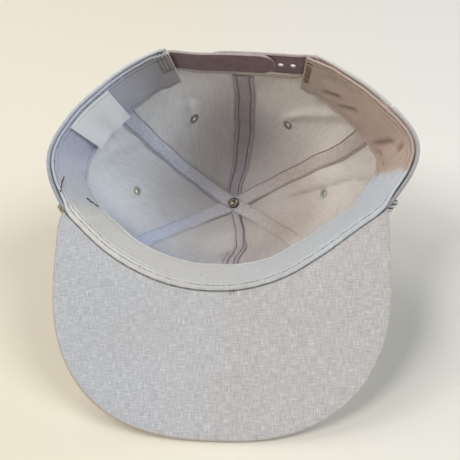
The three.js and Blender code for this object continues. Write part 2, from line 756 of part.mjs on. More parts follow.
// A band between two shares of the strap's length; its tip is a half round with a blunt nose.
const STRAP_COLUMNS = 18;
const STRAP_NOSE = 0.4;
function strapBand(from, to, lift, tipAtStart) {
  const back = [];
  const face = [];
  for (let i = 0; i <= STRAP_COLUMNS; i++) {
    const share = lerp(from, to, i / STRAP_COLUMNS);
    const fromTip = Math.abs(share - (tipAtStart ? from : to)) * strapTop.getLength();
    const half = STRAP_HEIGHT / 2;
    const round = fromTip < half ? Math.sqrt(half * half - (half - fromTip) ** 2) / half : 1;
    const tall = Math.max(round, STRAP_NOSE);
    const ups = [-1, 0, 1].map((k) => 0.5 + 0.5 * k * tall);
    back.push(ups.map((up) => strapPlace(share, up, lift(share))));
    face.push(ups.map((up) => strapPlace(share, up, lift(share) + STRAP_SHEET)));
  }
  return sheet(back, face);
}

const HOLE_SIZE = { wide: 3.6, deep: 12, tall: 2.2 };
const HOLE_UP = 0.45;
const strapHoles = STRAP_HOLES.map((share) => {
  const hole = new THREE.BoxGeometry(HOLE_SIZE.wide, HOLE_SIZE.deep, HOLE_SIZE.tall);
  return hole.translate(...strapPlace(share, HOLE_UP, 0).toArray());
});
add("strap_outer", cut(strapBand(0, OUTER_TIP, () => 0, false), ...strapHoles), 0x7d6a68, 0.5);
const pastOuterTip = (share) => smoothstep(share, OUTER_TIP + 0.02, OUTER_TIP + 0.17);
const innerLift = (share) => (STRAP_SHEET + GAP) * (1 - pastOuterTip(share));
add("strap_inner", strapBand(INNER_TIP, 1, innerLift, true), 0x75625f, 0.5);

// Covered button outside and rivet inside, at the top of the crown
const TOP = new THREE.Vector3(CROWN_CENTRE_X, CROWN_CENTRE_Y, -CROWN_DEPTH);
const buttonTop = -(PANEL_CLOTH + GAP);
const button = turned(
  [
    [0, buttonTop],
    [BUTTON_RADIUS, buttonTop - BUTTON_HEIGHT * 0.09],
    [BUTTON_RADIUS * 0.98, buttonTop - BUTTON_HEIGHT * 0.36],
    [BUTTON_RADIUS * 0.8, buttonTop - BUTTON_HEIGHT * 0.71],
    [BUTTON_RADIUS * 0.45, buttonTop - BUTTON_HEIGHT * 0.93],
    [0, buttonTop - BUTTON_HEIGHT],
  ],
  16,
);
add("top_button", button.translate(...TOP.toArray()), 0xbfc0c3, 0.95);

const rivetBase = TAPE_GAP + 3 * LAYER_STEP + 0.2;
const rivet = turned(
  [
    [0, buttonTop + GAP],
    [SHANK_RADIUS, buttonTop + GAP],
    [SHANK_RADIUS, rivetBase],
    [RIVET_RADIUS, rivetBase],
    [RIVET_RADIUS, rivetBase + 0.6],
    [RIVET_RADIUS * 0.78, rivetBase + 1.3],
    [RIVET_RADIUS * 0.5, rivetBase + 1.5],
    [RIVET_RADIUS * 0.38, rivetBase + 0.8],
    [0, rivetBase + 0.7],
  ],
  16,
);
add("rivet", rivet.translate(...TOP.toArray()), 0x8a8377, 0.35, 1);

// Stitched eyelets: a ring through the cloth with a flange on each side
const EYELET_CLEARANCE = 0.7;
for (const { name, azimuth } of EYELETS) {
  const neck = EYELET_HOLE + 1.3;
  const inside = EYELET_CLEARANCE;
  const outside = -(PANEL_CLOTH + EYELET_CLEARANCE);
  const ring = turned(
    [
      [EYELET_HOLE, outside - 0.6],
      [EYELET_RADIUS, outside - 0.4],
      [EYELET_RADIUS, outside],
      [neck, outside],
      [neck, inside],
      [EYELET_RADIUS, inside],
      [EYELET_RADIUS, inside + 0.4],
      [EYELET_HOLE, inside + 0.7],
      [EYELET_HOLE, outside - 0.6],
    ],
    12,
  );
  add(name, standOnCrown(ring, azimuth, EYELET_FROM_TOP), 0xb9bbbf, 0.9);
}

// Tip the cap on to the table: origin under the middle of its box, +Z up.
group.rotation.x = TIP;
group.updateMatrixWorld(true);
const box = new THREE.Box3().setFromObject(group, true);
group.position.set(-(box.min.x + box.max.x) / 2, -(box.min.y + box.max.y) / 2, -box.min.z);
group.updateMatrixWorld(true);

export default group;
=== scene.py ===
# %% [markdown]
# # A rope cap, upside down on a table
# The cap rests on its flattened crown and the tip of its brim, and the camera looks into the hollow.
# Every piece is remade here in cloth, thread, plastic or metal over a plain solid of the same place.
# The first cell loads those solids.

# %% Load the plain solids
import math

import bmesh
import bpy
import numpy as np
from mathutils import Matrix, Vector


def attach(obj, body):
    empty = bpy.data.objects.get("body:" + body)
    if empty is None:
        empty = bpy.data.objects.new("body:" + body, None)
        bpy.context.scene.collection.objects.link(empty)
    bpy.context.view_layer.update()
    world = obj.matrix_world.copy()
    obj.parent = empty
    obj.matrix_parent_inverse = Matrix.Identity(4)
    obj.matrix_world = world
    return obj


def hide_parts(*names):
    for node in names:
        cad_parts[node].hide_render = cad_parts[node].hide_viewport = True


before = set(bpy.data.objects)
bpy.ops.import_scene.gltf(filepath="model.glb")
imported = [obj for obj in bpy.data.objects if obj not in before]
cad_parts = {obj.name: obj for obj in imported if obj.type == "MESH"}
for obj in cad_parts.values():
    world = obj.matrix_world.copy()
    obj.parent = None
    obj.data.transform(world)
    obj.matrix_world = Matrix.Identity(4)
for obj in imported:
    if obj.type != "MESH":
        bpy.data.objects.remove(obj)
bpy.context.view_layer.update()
scene = bpy.context.scene

# %% [markdown]
# ## The camera
# The photograph was taken from the front of the brim, a little to the right, looking down by 39 degrees.
# A camera's own axes are right, up and back, so they can be written straight into its matrix.

# %% Camera
CAMERA_PLACE = (0.037559, -0.240679, 0.244558)
CAMERA_RIGHT = (0.992494, 0.088014, -0.084903)
CAMERA_UP = (0.010142, 0.632643, 0.774377)
CAMERA_BACK = (0.121869, -0.769426, 0.627002)
camera = bpy.data.objects.new("camera", bpy.data.cameras.new("camera"))
camera.data.sensor_width = 36
camera.data.lens = 40.7
camera.data.clip_start = 0.01
axes = Matrix((CAMERA_RIGHT, CAMERA_UP, CAMERA_BACK)).transposed()
camera.matrix_world = Matrix.Translation(CAMERA_PLACE) @ axes.to_4x4()
scene.collection.objects.link(camera)
scene.camera = camera
print("camera looks down by", round(math.degrees(math.asin(CAMERA_BACK[2])), 1), "degrees")

# %% [markdown]
# ## The shape that everything is sewn to
# Cloth follows the crown, so one function gives the crown's surface and every piece uses it.
# A place on it has two numbers: an azimuth round the crown (90 is the back), and a distance from the
# top along the cloth. Sizes are millimetres in the cap's own frame, with the head opening facing +Z.
# The table gives the headband every 15 degrees: how far out it is, its rise, how far the wall leans in
# over its first 45 mm, and how boxy the top is.

# %% Sizes of the crown
PANEL_CLOTH, TAPE_CLOTH, BAND_CLOTH = 1.4, 0.8, 1.2  # how thick each is
GAP, TAPE_GAP = 0.3, 0.65  # what is left free between two pieces
CROWN_X, CROWN_Y = -4.0, 77.0
CROWN_DEPTH = 112.0
WALL_DEPTH = 45.0
TOP_HOLE = 2.6  # the panels stop this far from the top, round the rivet's stem
FLAT_ROUNDING = 1.6
HEADBAND = np.array([
    # azimuth, reach, rise, inset, shoulder
    (-180, 95.5, 2.6, 15, 60), (-165, 92.0, 0.6, 15, 56), (-150, 83.8, 0.0, 15, 50),
    (-135, 79.3, 0.0, 16, 47), (-120, 76.8, 0.0, 16, 46), (-105, 76.2, 0.0, 16, 45),
    (-90, 76.6, 0.0, 16, 45), (-75, 78.2, 0.0, 16, 45), (-60, 80.2, 0.0, 17, 46),
    (-45, 82.9, 0.0, 17, 48), (-30, 89.6, 0.0, 18, 50), (-15, 103.2, 0.8, 23, 52),
    (0, 111.5, 3.2, 26, 55), (15, 97.5, 6.2, 15, 58), (30, 84.5, 8.5, 8, 62),
    (45, 76.0, 9.8, 2, 66), (60, 71.0, 10.4, -6, 68), (75, 67.0, 10.6, -11, 68),
    (90, 65.0, 10.7, -11, 67), (105, 64.5, 10.7, -6, 66), (120, 66.5, 10.5, 3, 65),
    (135, 70.6, 9.6, 6, 64), (150, 76.5, 8.2, 9, 63), (165, 86.5, 5.8, 12, 62),
])
REACH, RISE, INSET, SHOULDER = 1, 2, 3, 4
SEAMS = {  # azimuth where each seam meets the top, and where it reaches the headband
    "front": (-78, -80), "front_right": (-30, -44), "back_right": (28, 12),
    "back": (80, 79), "back_left": (144, 148), "front_left": (-159, -138),
}
DENTS = [  # azimuth, distance from the top, push into the hollow, spread in degrees, length
    (5, 66, 1.8, 9, 34), (-12, 70, -1.6, 10, 30), (62, 82, 2.5, 10, 14), (104, 96, 2.5, 9, 16),
    (160, 70, 2.0, 12, 24), (-94, 88, 2.0, 4, 22), (-112, 60, -1.5, 12, 25),
]
PANEL_SWELL = 1.2  # how far the middle of a panel bows out
print(len(HEADBAND), "stations round the headband,", len(DENTS), "dents")

# %% [markdown]
# A wall of the crown is one cubic curve from the headband down to the top. The curve's own parameter
# doesn't measure length, so the lengths of 40 short chords are added up and looked up instead.

# %% The smooth cup
def lerp(a, b, t):
    return a + (b - a) * t


def smoothstep(x, low, high):
    t = np.clip((x - low) / (high - low), 0, 1)
    return t * t * (3 - 2 * t)


def fall(x, low, high):
    return 1 - smoothstep(x, low, high)


def unit(vectors):
    return vectors / np.linalg.norm(vectors, axis=1)[:, None]


def length_along(points):
    return np.concatenate([[0], np.cumsum(np.linalg.norm(np.diff(points, axis=0), axis=1))])


def sample(at, length, points):
    """Points read from a path at the given lengths along it."""
    return np.stack([np.interp(at, length, part) for part in points.T], axis=1)


def headband(column, azimuth):
    rows = len(HEADBAND)
    place = np.mod(azimuth + 180, 360) / (360 / rows)
    row = np.floor(place).astype(int)
    t = place - row
    a, b, c, d = (HEADBAND[(row + k) % rows, column] for k in (-1, 0, 1, 2))
    return b + 0.5 * t * (c - a + t * (2 * a - 5 * b + 4 * c - d + t * (3 * (b - c) + d - a)))


CHORDS = np.linspace(0, 1, 41)[:, None]


def wall(azimuth):
    """Points of the wall's curve at each azimuth, and their distances from the top along it."""
    t, s = CHORDS, 1 - CHORDS
    reach = headband(REACH, azimuth)
    low = reach - headband(INSET, azimuth)
    radius = 3 * t * s * s * headband(SHOULDER, azimuth) + 3 * t * t * s * low + t**3 * reach
    height = t**3 * headband(RISE, azimuth) - CROWN_DEPTH * (s**3 + 3 * t * s * s)
    height = height - WALL_DEPTH * 3 * t * t * s
    chord = np.hypot(np.diff(radius, axis=0), np.diff(height, axis=0))
    length = np.vstack([np.zeros((1, len(azimuth))), np.cumsum(chord, axis=0)])
    return radius, height, length


def full_length(azimuth):
    return wall(np.atleast_1d(np.asarray(azimuth, float)))[2][-1]


def cup(azimuth, from_top):
    """Points of the smooth cup, in the cap's own mm."""
    radius, height, length = wall(azimuth)
    i = 1 + (length[1:-1] < from_top).sum(axis=0)
    k = np.arange(len(azimuth))
    t = (from_top - length[i - 1, k]) / (length[i, k] - length[i - 1, k])
    out = lerp(radius[i - 1, k], radius[i, k], t)
    turn = np.radians(azimuth)
    up = lerp(height[i - 1, k], height[i, k], t)
    return np.stack([CROWN_X + out * np.cos(turn), CROWN_Y + out * np.sin(turn), up], axis=1)


print("cloth from top to headband, front and back, mm:", full_length([-90, 90]).round(1))

# %% [markdown]
# The direction into the hollow is the cross product of two small steps on the surface.
# Dents and the slight swell of each panel are pushed along it. Last, whatever would go through the
# table is lifted on to it, with a rounded corner, as soft cloth is flattened by its own weight.

# %% Dents, swells and the flattened side
TIP = math.radians(38.32353088)  # the cap is tipped by this and then moved, to lie on the table
SHIFT = np.array([-4.0495644, -48.8992968, 48.0164997])
BRIM_THICKNESS, BRIM_EDGE = 3.0, 0.7
BRIM_CENTRE_Y, BRIM_REACH, BRIM_HALF_WIDTH = 14.0, 90.0, 91.0
EDGE_SAG = BRIM_EDGE * (1 - math.sqrt(0.5))  # what the rounded edge lacks where it touches the table
UP = np.array([0, math.sin(TIP), math.cos(TIP)])  # away from the table, in the cap's own frame
TABLE = UP @ [0, BRIM_CENTRE_Y - BRIM_REACH + EDGE_SAG, EDGE_SAG - BRIM_THICKNESS / 2]
MM_PER_DEGREE = 1.4  # round the crown, on average
CREASES = [  # a fold line: azimuth and distance from the top at each end, push, width
    (2, 44, 0, 86, -1.3, 1.8), (0, 84, -1, 111, -1.5, 1.6), (-1, 109, -6, 134, -1.3, 1.8),
    (7, 60, 4, 104, 0.7, 6.0), (52, 82, 22, 128, 3.0, 3.6), (27, 112, 17, 130, -1.6, 4.0),
    (118, 70, 112, 104, 1.8, 5.0), (104, 92, 120, 104, -1.2, 4.0), (150, 96, 172, 118, 1.6, 5.0),
    (-91, 50, -94, 84, 2.6, 3.0), (-84, 52, -88, 84, -1.4, 3.0), (96, 60, 100, 92, -1.2, 4.0),
    (-30, 112, -8, 100, 1.4, 4.0), (-136, 60, -120, 92, 1.2, 5.0),
]
SHARP_CREASES = [row for row in CREASES if row[5] < 2.0]


def angle_between(a, b):
    return np.mod(a - b + 180, 360) - 180


def seam_azimuth(name, from_top):
    top, hem = SEAMS[name]
    return lerp(top, hem, np.minimum(1, from_top / 110))


def crease(azimuth, from_top, row):
    a0, s0, a1, s1, push, width = row
    x, y = angle_between(azimuth, a0) * MM_PER_DEGREE, from_top - s0
    dx, dy = (a1 - a0) * MM_PER_DEGREE, s1 - s0
    t = np.clip((x * dx + y * dy) / (dx * dx + dy * dy), 0, 1)
    away = np.hypot(x - t * dx, y - t * dy) / width
    return push * np.exp(-away * away) * smoothstep(t, -0.1, 0.25) * smoothstep(1 - t, -0.1, 0.25)


def folds(creases, azimuth, along):
    """1 in the bottom of the creases and 0 away from them, for the painted shade there."""
    return np.max([crease(azimuth, along, row) / row[4] for row in creases], axis=0)


def pushes(dents, creases, azimuth, along):
    push = sum(crease(azimuth, along, row) for row in creases)
    for centre, middle, depth, spread, length in dents:
        x, y = angle_between(azimuth, centre) / spread, (along - middle) / length
        push = push + depth * np.exp(-x * x - y * y)
    return push


def relief(azimuth, from_top):
    push = pushes(DENTS, CREASES, azimuth, from_top)
    angles = np.array([angle_between(azimuth, seam_azimuth(name, from_top)) for name in SEAMS])
    before = np.where(angles >= 0, angles, 999).min(axis=0)
    after = np.where(angles < 0, -angles, 999).min(axis=0)
    share = before / (before + after)
    along = np.minimum(1, from_top / full_length(azimuth))
    return push - PANEL_SWELL * np.sin(np.pi * share) ** 2 * np.sin(np.pi * along)


def inward(surface, azimuth, from_top):
    top = np.maximum(from_top, 3)
    turn = 60 / top
    along = surface(azimuth, top + 1) - surface(azimuth, top - 1)
    around = surface(azimuth + turn, top) - surface(azimuth - turn, top)
    straight = np.clip(1 - from_top / 12, 0, 1)[:, None]
    return unit(unit(np.cross(along, around)) * (1 - straight) + np.array([0, 0, 1]) * straight)


def dented_cup(azimuth, from_top):
    fade = smoothstep(from_top, 8, 30) * smoothstep(full_length(azimuth) - from_top, 0, 25)
    push = fade * relief(azimuth, from_top)
    return cup(azimuth, from_top) + inward(cup, azimuth, from_top) * push[:, None]


def crown(azimuth, from_top):
    point = dented_cup(azimuth, from_top)
    below = TABLE + PANEL_CLOTH - point @ UP
    rounded = np.maximum(0, FLAT_ROUNDING - np.abs(below)) ** 2 / (4 * FLAT_ROUNDING)
    return point + (np.maximum(0, below) + rounded)[:, None] * UP


def crown_and_inward(azimuth, from_top):
    """Points on the inner face of the crown, and the directions into the hollow there."""
    azimuth, from_top = (np.array(v, float) for v in np.broadcast_arrays(azimuth, from_top))
    return crown(azimuth, from_top), inward(crown, azimuth, from_top)


def on_crown(azimuth, from_top, offset):
    point, normal = crown_and_inward(azimuth, from_top)
    return point + normal * np.broadcast_to(offset, len(point))[:, None]


def clear_of_table(points, which=True, room=0.0):
    """Lifts the points that a mask picks until they are clear of the table."""
    lift = np.maximum(0, TABLE + room - points @ UP) * which
    return points + lift[:, None] * UP


def to_world(points):
    y = points[:, 1] * math.cos(TIP) - points[:, 2] * math.sin(TIP)
    return (np.stack([points[:, 0], y, points @ UP], axis=1) + SHIFT) / 1000


print("deepest relief at the right side, mm:", relief(np.array([4.0]), np.array([62.0])).round(2))

# %% [markdown]
# ## One helper for every sheet of cloth
# Cloth could be sculpted, or simulated until it settles, but then it would be hard to keep to the sizes
# above. So create_grid makes a flat grid of faces, and each corner is carried to where a rule says,
# given its column and row. Rows can run over the face of the cloth, round its edge and back along the
# other side, and where the last row meets the first, remove_doubles closes the seam and holes_fill
# closes the two ends. The cloth's own lengths, in metres, go into a UV map for the weave to follow, and
# what a rule marks, such as dirt, goes into attributes.

# %% Draping a grid
def as_mesh(bm, name):
    mesh = bpy.data.meshes.new(name)
    bm.to_mesh(mesh)
    bm.free()
    return mesh


def new_object(name, data):
    made = bpy.data.objects.new(name, data)
    scene.collection.objects.link(made)
    return made


def smoothed(mesh, sharp):
    """Smooth shading, with a crisp edge wherever two faces meet at more than an angle in degrees."""
    mesh.shade_smooth()
    mesh.set_sharp_from_angle(angle=math.radians(sharp))
    return mesh


def vertex_places(mesh):
    flat = np.empty(3 * len(mesh.vertices), np.float32)
    mesh.vertices.foreach_get("co", flat)
    return flat.reshape(-1, 3)


def closed(mesh, name, sharp):
    """The piece that a carried grid becomes, with its seam and its two ends closed."""
    bm = bmesh.new()
    bm.from_mesh(mesh)
    bmesh.ops.remove_doubles(bm, verts=bm.verts, dist=1e-6)
    bmesh.ops.dissolve_degenerate(bm, edges=bm.edges, dist=1e-7)
    open_edges = [edge for edge in bm.edges if edge.is_boundary]
    bmesh.ops.holes_fill(bm, edges=open_edges, sides=0)
    bmesh.ops.recalc_face_normals(bm, faces=bm.faces)
    bm.to_mesh(mesh)
    bm.free()
    return new_object(name, smoothed(mesh, sharp))


def draped(name, columns, rows, carry, sharp=50):
    """A grid whose corners are carried to points, cloth places and marks, all in the cap's mm."""
    bm = bmesh.new()
    bmesh.ops.create_grid(bm, x_segments=columns, y_segments=rows, size=0.5)
    mesh = as_mesh(bm, name)
    grid = vertex_places(mesh)
    column = np.rint((grid[:, 0] + 0.5) * columns).astype(int)
    row = np.rint((grid[:, 1] + 0.5) * rows).astype(int)
    points, cloth, marks = carry(column, row)
    mesh.vertices.foreach_set("co", to_world(points).ravel())
    corners = np.empty(len(mesh.loops), np.int32)
    mesh.loops.foreach_get("vertex_index", corners)
    layer = mesh.uv_layers.new(name="cloth")
    layer.uv.foreach_set("vector", (np.asarray(cloth)[corners] / 1000).ravel())
    for key, values in marks.items():
        attribute = mesh.attributes.new(key, "FLOAT", "POINT")
        attribute.data.foreach_set("value", np.asarray(values, np.float32))
    return closed(mesh, name, sharp)


def rolled(distance, radius):
    """0 at an edge and 1 from a radius away, as a quarter circle."""
    d = np.clip(distance / radius, 0, 1)
    return np.sqrt(1 - (1 - d) ** 2)


def finish(piece, slot_name, *nodes):
    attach(piece, "root")
    if nodes:
        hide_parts(*nodes)
    print(f"{piece.name}: {len(piece.data.polygons)} faces")
    return piece


pieces = {}
print("a quarter of the way in, a rolled edge is", round(float(rolled(0.25, 1.0)), 2), "of its height")

# %% [markdown]
# ## Six crown panels
# A cap's crown is six triangles of cotton. Each is a grid between two seams: columns fan out from the
# top, and rows run down the inner face, round the hem and back up the outside. Outside, the cloth
# rolls into each seam and swells a little over the seam allowance, which draws the ribs of the crown.

# %% Panel hems
ARCH_CENTRE, ARCH_HALF_SPREAD, ARCH_HEIGHT = 78, 36, 45
PANELS = {
    "panel_front_left": ("front_left", "front"),
    "panel_front_right": ("front", "front_right"),
    "panel_side_right": ("front_right", "back_right"),
    "panel_back_right": ("back_right", "back"),
    "panel_back_left": ("back", "back_left"),
    "panel_side_left": ("back_left", "front_left"),
}
PLAIN_SHARE = 5 / 13  # the part of a back panel's hem that isn't in the back opening


def arch_place(angle):
    """A place on the edge of the back opening, whose angle runs from 180 at its right to 0 at its left."""
    azimuth = ARCH_CENTRE + ARCH_HALF_SPREAD * np.cos(np.radians(angle))
    return azimuth, full_length(azimuth) - ARCH_HEIGHT * np.sin(np.radians(angle))


def hem_place(share, start, end):
    """A place on a panel's hem, which leaves the headband to follow the opening's arch."""
    low, high = ARCH_CENTRE - ARCH_HALF_SPREAD, ARCH_CENTRE + ARCH_HALF_SPREAD
    if start < low < end:
        plain = share < PLAIN_SHARE
        edge = math.degrees(math.acos((end - ARCH_CENTRE) / ARCH_HALF_SPREAD))
        angle = lerp(180, edge, (share - PLAIN_SHARE) / (1 - PLAIN_SHARE))
        azimuth = lerp(start, low, share / PLAIN_SHARE)
    elif start < high < end:
        plain = share > 1 - PLAIN_SHARE
        edge = math.degrees(math.acos((start - ARCH_CENTRE) / ARCH_HALF_SPREAD))
        angle = lerp(edge, 0, share / (1 - PLAIN_SHARE))
        azimuth = lerp(high, end, (share - 1 + PLAIN_SHARE) / PLAIN_SHARE)
    else:
        azimuth = lerp(start, end, share)
        return azimuth, full_length(azimuth)
    arch_azimuth, arch_top = arch_place(angle)
    azimuth = np.where(plain, azimuth, arch_azimuth)
    return azimuth, np.where(plain, full_length(azimuth), arch_top)


print("back opening spans", 2 * ARCH_HALF_SPREAD, "degrees")

# %% [markdown]
# Columns stand closer together near a seam, where the cloth rolls over. Each corner also remembers how
# far it is from the hem, whether it is in a fold and whether it is outside, for the cloth's dirt.

# %% Panels
NEAR_SEAM = np.array([0, 0.004, 0.012, 0.025, 0.05, 0.075])
PANEL_STEPS = np.concatenate([NEAR_SEAM, np.linspace(0.1, 0.9, 34), 1 - NEAR_SEAM[::-1]])
FACE_ROWS = 66
HEM_TUCK, HEM_LEVELS = [0.7, 0.2, 0.0], [0.15, 0.5, 0.85]  # mm short of the hem, share of the cloth
face_share = np.append(np.linspace(0, 1, FACE_ROWS), [1.0, 1.0])
face_tuck = np.append(np.zeros(FACE_ROWS - 1), HEM_TUCK)
PANEL_SHARE = np.concatenate([face_share, face_share[-2::-1], [0]])
PANEL_TUCK = np.concatenate([face_tuck, face_tuck[-2::-1], [0]])
PANEL_LEVEL = np.concatenate([np.zeros(FACE_ROWS), HEM_LEVELS, np.ones(FACE_ROWS), [0]])
SEAM_ROLL, SEAM_SWELL, HEM_SWELL, HEM_RISE = 1.3, 0.35, 0.3, 0.35


def crown_panel(name, start_seam, end_seam):
    steps = PANEL_STEPS
    wrap = 360 if SEAMS[end_seam][1] < SEAMS[start_seam][1] else 0
    hem_azimuth, hem_top = hem_place(steps, SEAMS[start_seam][1], SEAMS[end_seam][1] + wrap)
    start = seam_azimuth(start_seam, hem_top)
    hem_share = (hem_azimuth - start) / (seam_azimuth(end_seam, hem_top) + wrap - start)
    hem_share[0], hem_share[-1] = 0, 1

    def carry(i, j):
        down, level = PANEL_SHARE[j], PANEL_LEVEL[j]
        from_top = lerp(TOP_HOLE, hem_top[i], down) - PANEL_TUCK[j]
        across = lerp(steps[i], hem_share[i], down)
        first = seam_azimuth(start_seam, from_top)
        last = seam_azimuth(end_seam, from_top) + wrap
        azimuth = lerp(first, last, across)
        point, normal = crown_and_inward(azimuth, from_top)
        out = np.hypot(point[:, 0] - CROWN_X, point[:, 1] - CROWN_Y)
        width = np.radians(last - first) * np.maximum(out, TOP_HOLE)
        to_seam = np.minimum(across, 1 - across) * width
        to_hem = hem_top[i] - from_top
        in_hem = fall(to_hem, 2.0, 3.2)
        over_allowance = fall(to_seam, 5.5, 7.5) * smoothstep(from_top, 12, 25)
        outer = (PANEL_CLOTH + HEM_SWELL * in_hem) * rolled(to_seam, SEAM_ROLL)
        outer += SEAM_SWELL * over_allowance * rolled(to_seam, 2.5)
        lift = (1 - level) * HEM_RISE * in_hem - level * outer
        point = clear_of_table(point + normal * lift[:, None], level > 0)
        cloth = np.stack([(across - 0.5) * width, from_top], axis=1)
        fold = folds(SHARP_CREASES, azimuth, from_top) * (level == 0)
        return point, cloth, {"to_hem": to_hem, "fold": fold, "outside": level > 0}

    return draped(name, len(steps) - 1, len(PANEL_SHARE) - 1, carry)


for name, (start_seam, end_seam) in PANELS.items():
    pieces[name] = finish(crown_panel(name, start_seam, end_seam), "crown_cloth", name)

# %% [markdown]
# ## Ventilation holes
# An eyelet is a round hole with thread sewn over its rim. The hole is cut first, with a Boolean
# modifier and a cylinder that stands on the cloth, and applied so that the panel stays one mesh.

# %% Eyelet holes
HOLE_RADIUS = 1.6
EYELET_FROM_TOP = 79
EYELETS = {  # azimuth, and the panel it is in
    "eyelet_side_left": (179.5, "panel_side_left"),
    "eyelet_side_right": (-3, "panel_side_right"),
    "eyelet_back_left": (115, "panel_back_left"),
    "eyelet_back_right": (48, "panel_back_right"),
}


def world_vector(points):
    return Vector(to_world(points)[0])


def standing(azimuth, from_top):
    """A matrix that stands a shape on the crown, its +Z into the hollow and its +X round it."""
    point, normal = crown_and_inward([azimuth], [from_top])
    place = world_vector(point)
    up = (world_vector(point + normal) - place).normalized()
    side = world_vector(on_crown([azimuth + 1], [from_top], 0)) - place
    side = (side - up * side.dot(up)).normalized()
    return Matrix.Translation(place) @ Matrix((side, up.cross(side), up)).transposed().to_4x4()


def cut_holes(piece, places):
    bm = bmesh.new()
    for place in places:
        bmesh.ops.create_cone(bm, cap_ends=True, segments=20, radius1=HOLE_RADIUS / 1000,
                              radius2=HOLE_RADIUS / 1000, depth=0.012, matrix=place)
    punch = new_object("punch", as_mesh(bm, "punch"))
    modifier = piece.modifiers.new("holes", "BOOLEAN")
    modifier.object, modifier.operation, modifier.solver = punch, "DIFFERENCE", "EXACT"
    shown = piece.evaluated_get(bpy.context.evaluated_depsgraph_get())
    cut = bpy.data.meshes.new_from_object(shown)
    piece.modifiers.clear()
    whole, piece.data = piece.data, cut
    cut.name = piece.name
    bpy.data.meshes.remove(whole)
    bpy.data.objects.remove(punch)


for name, (azimuth, panel) in EYELETS.items():
    cut_holes(pieces[panel], [standing(azimuth, EYELET_FROM_TOP)])
print(len(EYELETS), "holes cut")

# %% [markdown]
# ## Seam tapes
# Inside, each pair of opposite seams is covered by one tape that crosses the top. A tape is a strip
# with two grooves where it is stitched down. At the top the tapes climb over one another.
# strip() carries a closed cross-section along a row of stations, so it also makes the sweatband,
# the label, the binding, the strap and the cord.

# %% A strip from a cross-section
def strip(name, stations, section, place, sharp=60):
    """A closed section carried along stations. place() says where a station and section point go."""
    ring = np.vstack([section, section[:1]])

    def carry(i, j):
        return place(stations[i], ring[j, 0], ring[j, 1])

    return draped(name, len(stations) - 1, len(section), carry, sharp)


def flat_section(steps):
    """A section that runs over the face of a sheet, at level 1, and back behind it at level 0."""
    return np.column_stack([np.append(steps, steps[::-1]), np.repeat([1.0, 0.0], len(steps))])


def end_steps(start, end, count, near=0.3):
    """Evenly spaced stations with a few close ones at both ends, for rounded ends."""
    inner = np.linspace(start + 4 * near, end - 4 * near, count)
    ends = np.array([0, 0.3, 1, 2]) * near
    return np.concatenate([start + ends, inner, end - ends[::-1]])


print("stations of a 10 mm strip:", end_steps(0, 10, 4).round(1))

# %% [markdown]
# Real tapes aren't quite straight: each wavers, the back one is widest, and the front one is folded to
# a narrow tube that kinks aside. A flat strip can't show this, so width, path and lift change with the
# distance along the tape, which is negative beyond the top.

# %% Seam tapes
TAPES = {  # the seams it covers, layer
    "seam_tape_front_back": ("front", "back", 0),
    "seam_tape_left_diagonal": ("front_left", "back_right", 1),
    "seam_tape_right_diagonal": ("front_right", "back_left", 2),
}
LAYER_STEP = TAPE_CLOTH + GAP
KINK = 44  # where the front tape folds and turns aside, mm from the top
TAPE_ROW = 0.62  # where the stitch rows lie in the section
TAPE_SECTION = np.array([
    # across as a share of the half width, lift as a share of the cloth
    (-1, 0.4), (-0.985, 0.75), (-0.95, 0.95), (-0.8, 1.0), (-0.7, 0.9), (-0.62, 0.2), (-0.54, 0.9),
    (-0.4, 1.1), (-0.2, 1.2), (0, 1.2), (0.2, 1.2), (0.4, 1.1), (0.54, 0.9), (0.62, 0.2), (0.7, 0.9),
    (0.8, 1.0), (0.95, 0.95), (0.985, 0.75), (1, 0.4), (0.95, 0), (0.5, 0), (0, 0), (-0.5, 0), (-0.95, 0),
])


def front_part(layer, along):
    return (layer == 0) * smoothstep(along, 3, 10)


def tape_half(layer, along):
    """Half the width of a tape: the back one is widest, the front one is folded to a narrow tube."""
    wide = lerp(11, 14.5, smoothstep(-along, 10, 60)) if layer == 0 else 11 + 0 * along
    folded = 6.8 + 2.6 * smoothstep(along, KINK - 2, KINK + 8)
    return lerp(wide, folded, front_part(layer, along)) / 2


def tape_middle(layer, along):
    """How far a tape's middle strays from the seam."""
    waver = 0.35 * np.sin(along * 0.19 + layer) * smoothstep(np.abs(along), 20, 60)
    aside = 1.9 * smoothstep(along, 3, 9) * fall(along, 14, 40)
    aside = aside - 6.5 * smoothstep(along, KINK, KINK + 30)
    return waver + aside * front_part(layer, along)


def tape_place(first_seam, second_seam, along, across):
    """A place on a tape. Near the top it runs straight from one seam into the other."""
    far = np.abs(along)
    first = seam_azimuth(first_seam, far)
    second = seam_azimuth(second_seam, far) - 180
    straight = second + angle_between(first, second) / 2
    behind = along < 0
    seam = np.where(behind, second + 180, first)
    through = np.where(behind, straight + 180, straight)
    bent = smoothstep(far, 6, 30) * angle_between(seam, through)
    probe = np.maximum(far, 6)
    width = np.linalg.norm(crown(seam + 1, probe) - crown(seam - 1, probe), axis=1)
    width /= math.radians(2)
    sideways = np.where(behind, -1, 1) * across * (probe / width)
    azimuth = through + bent + np.degrees(np.arctan2(sideways, far))
    return azimuth, np.hypot(along, across)


def tape_lift(layer, from_top):
    return TAPE_GAP * 0.5 + layer * LAYER_STEP * fall(from_top, 20, 34)


def tape_reach(first_seam, second_seam):
    lengths = []
    for seam in (first_seam, second_seam):
        short = ARCH_HEIGHT + 5 if seam == "back" else 2
        lengths.append(full_length(SEAMS[seam][1])[0] - short)
    return -lengths[1], lengths[0]


def tape_row(layer, along):
    """Where the stitch rows run, as a share of the half width."""
    tube = front_part(layer, along) * fall(along, KINK - 4, KINK + 4)
    return (0.6 if layer == 0 else 0.86) + 0.2 * tube


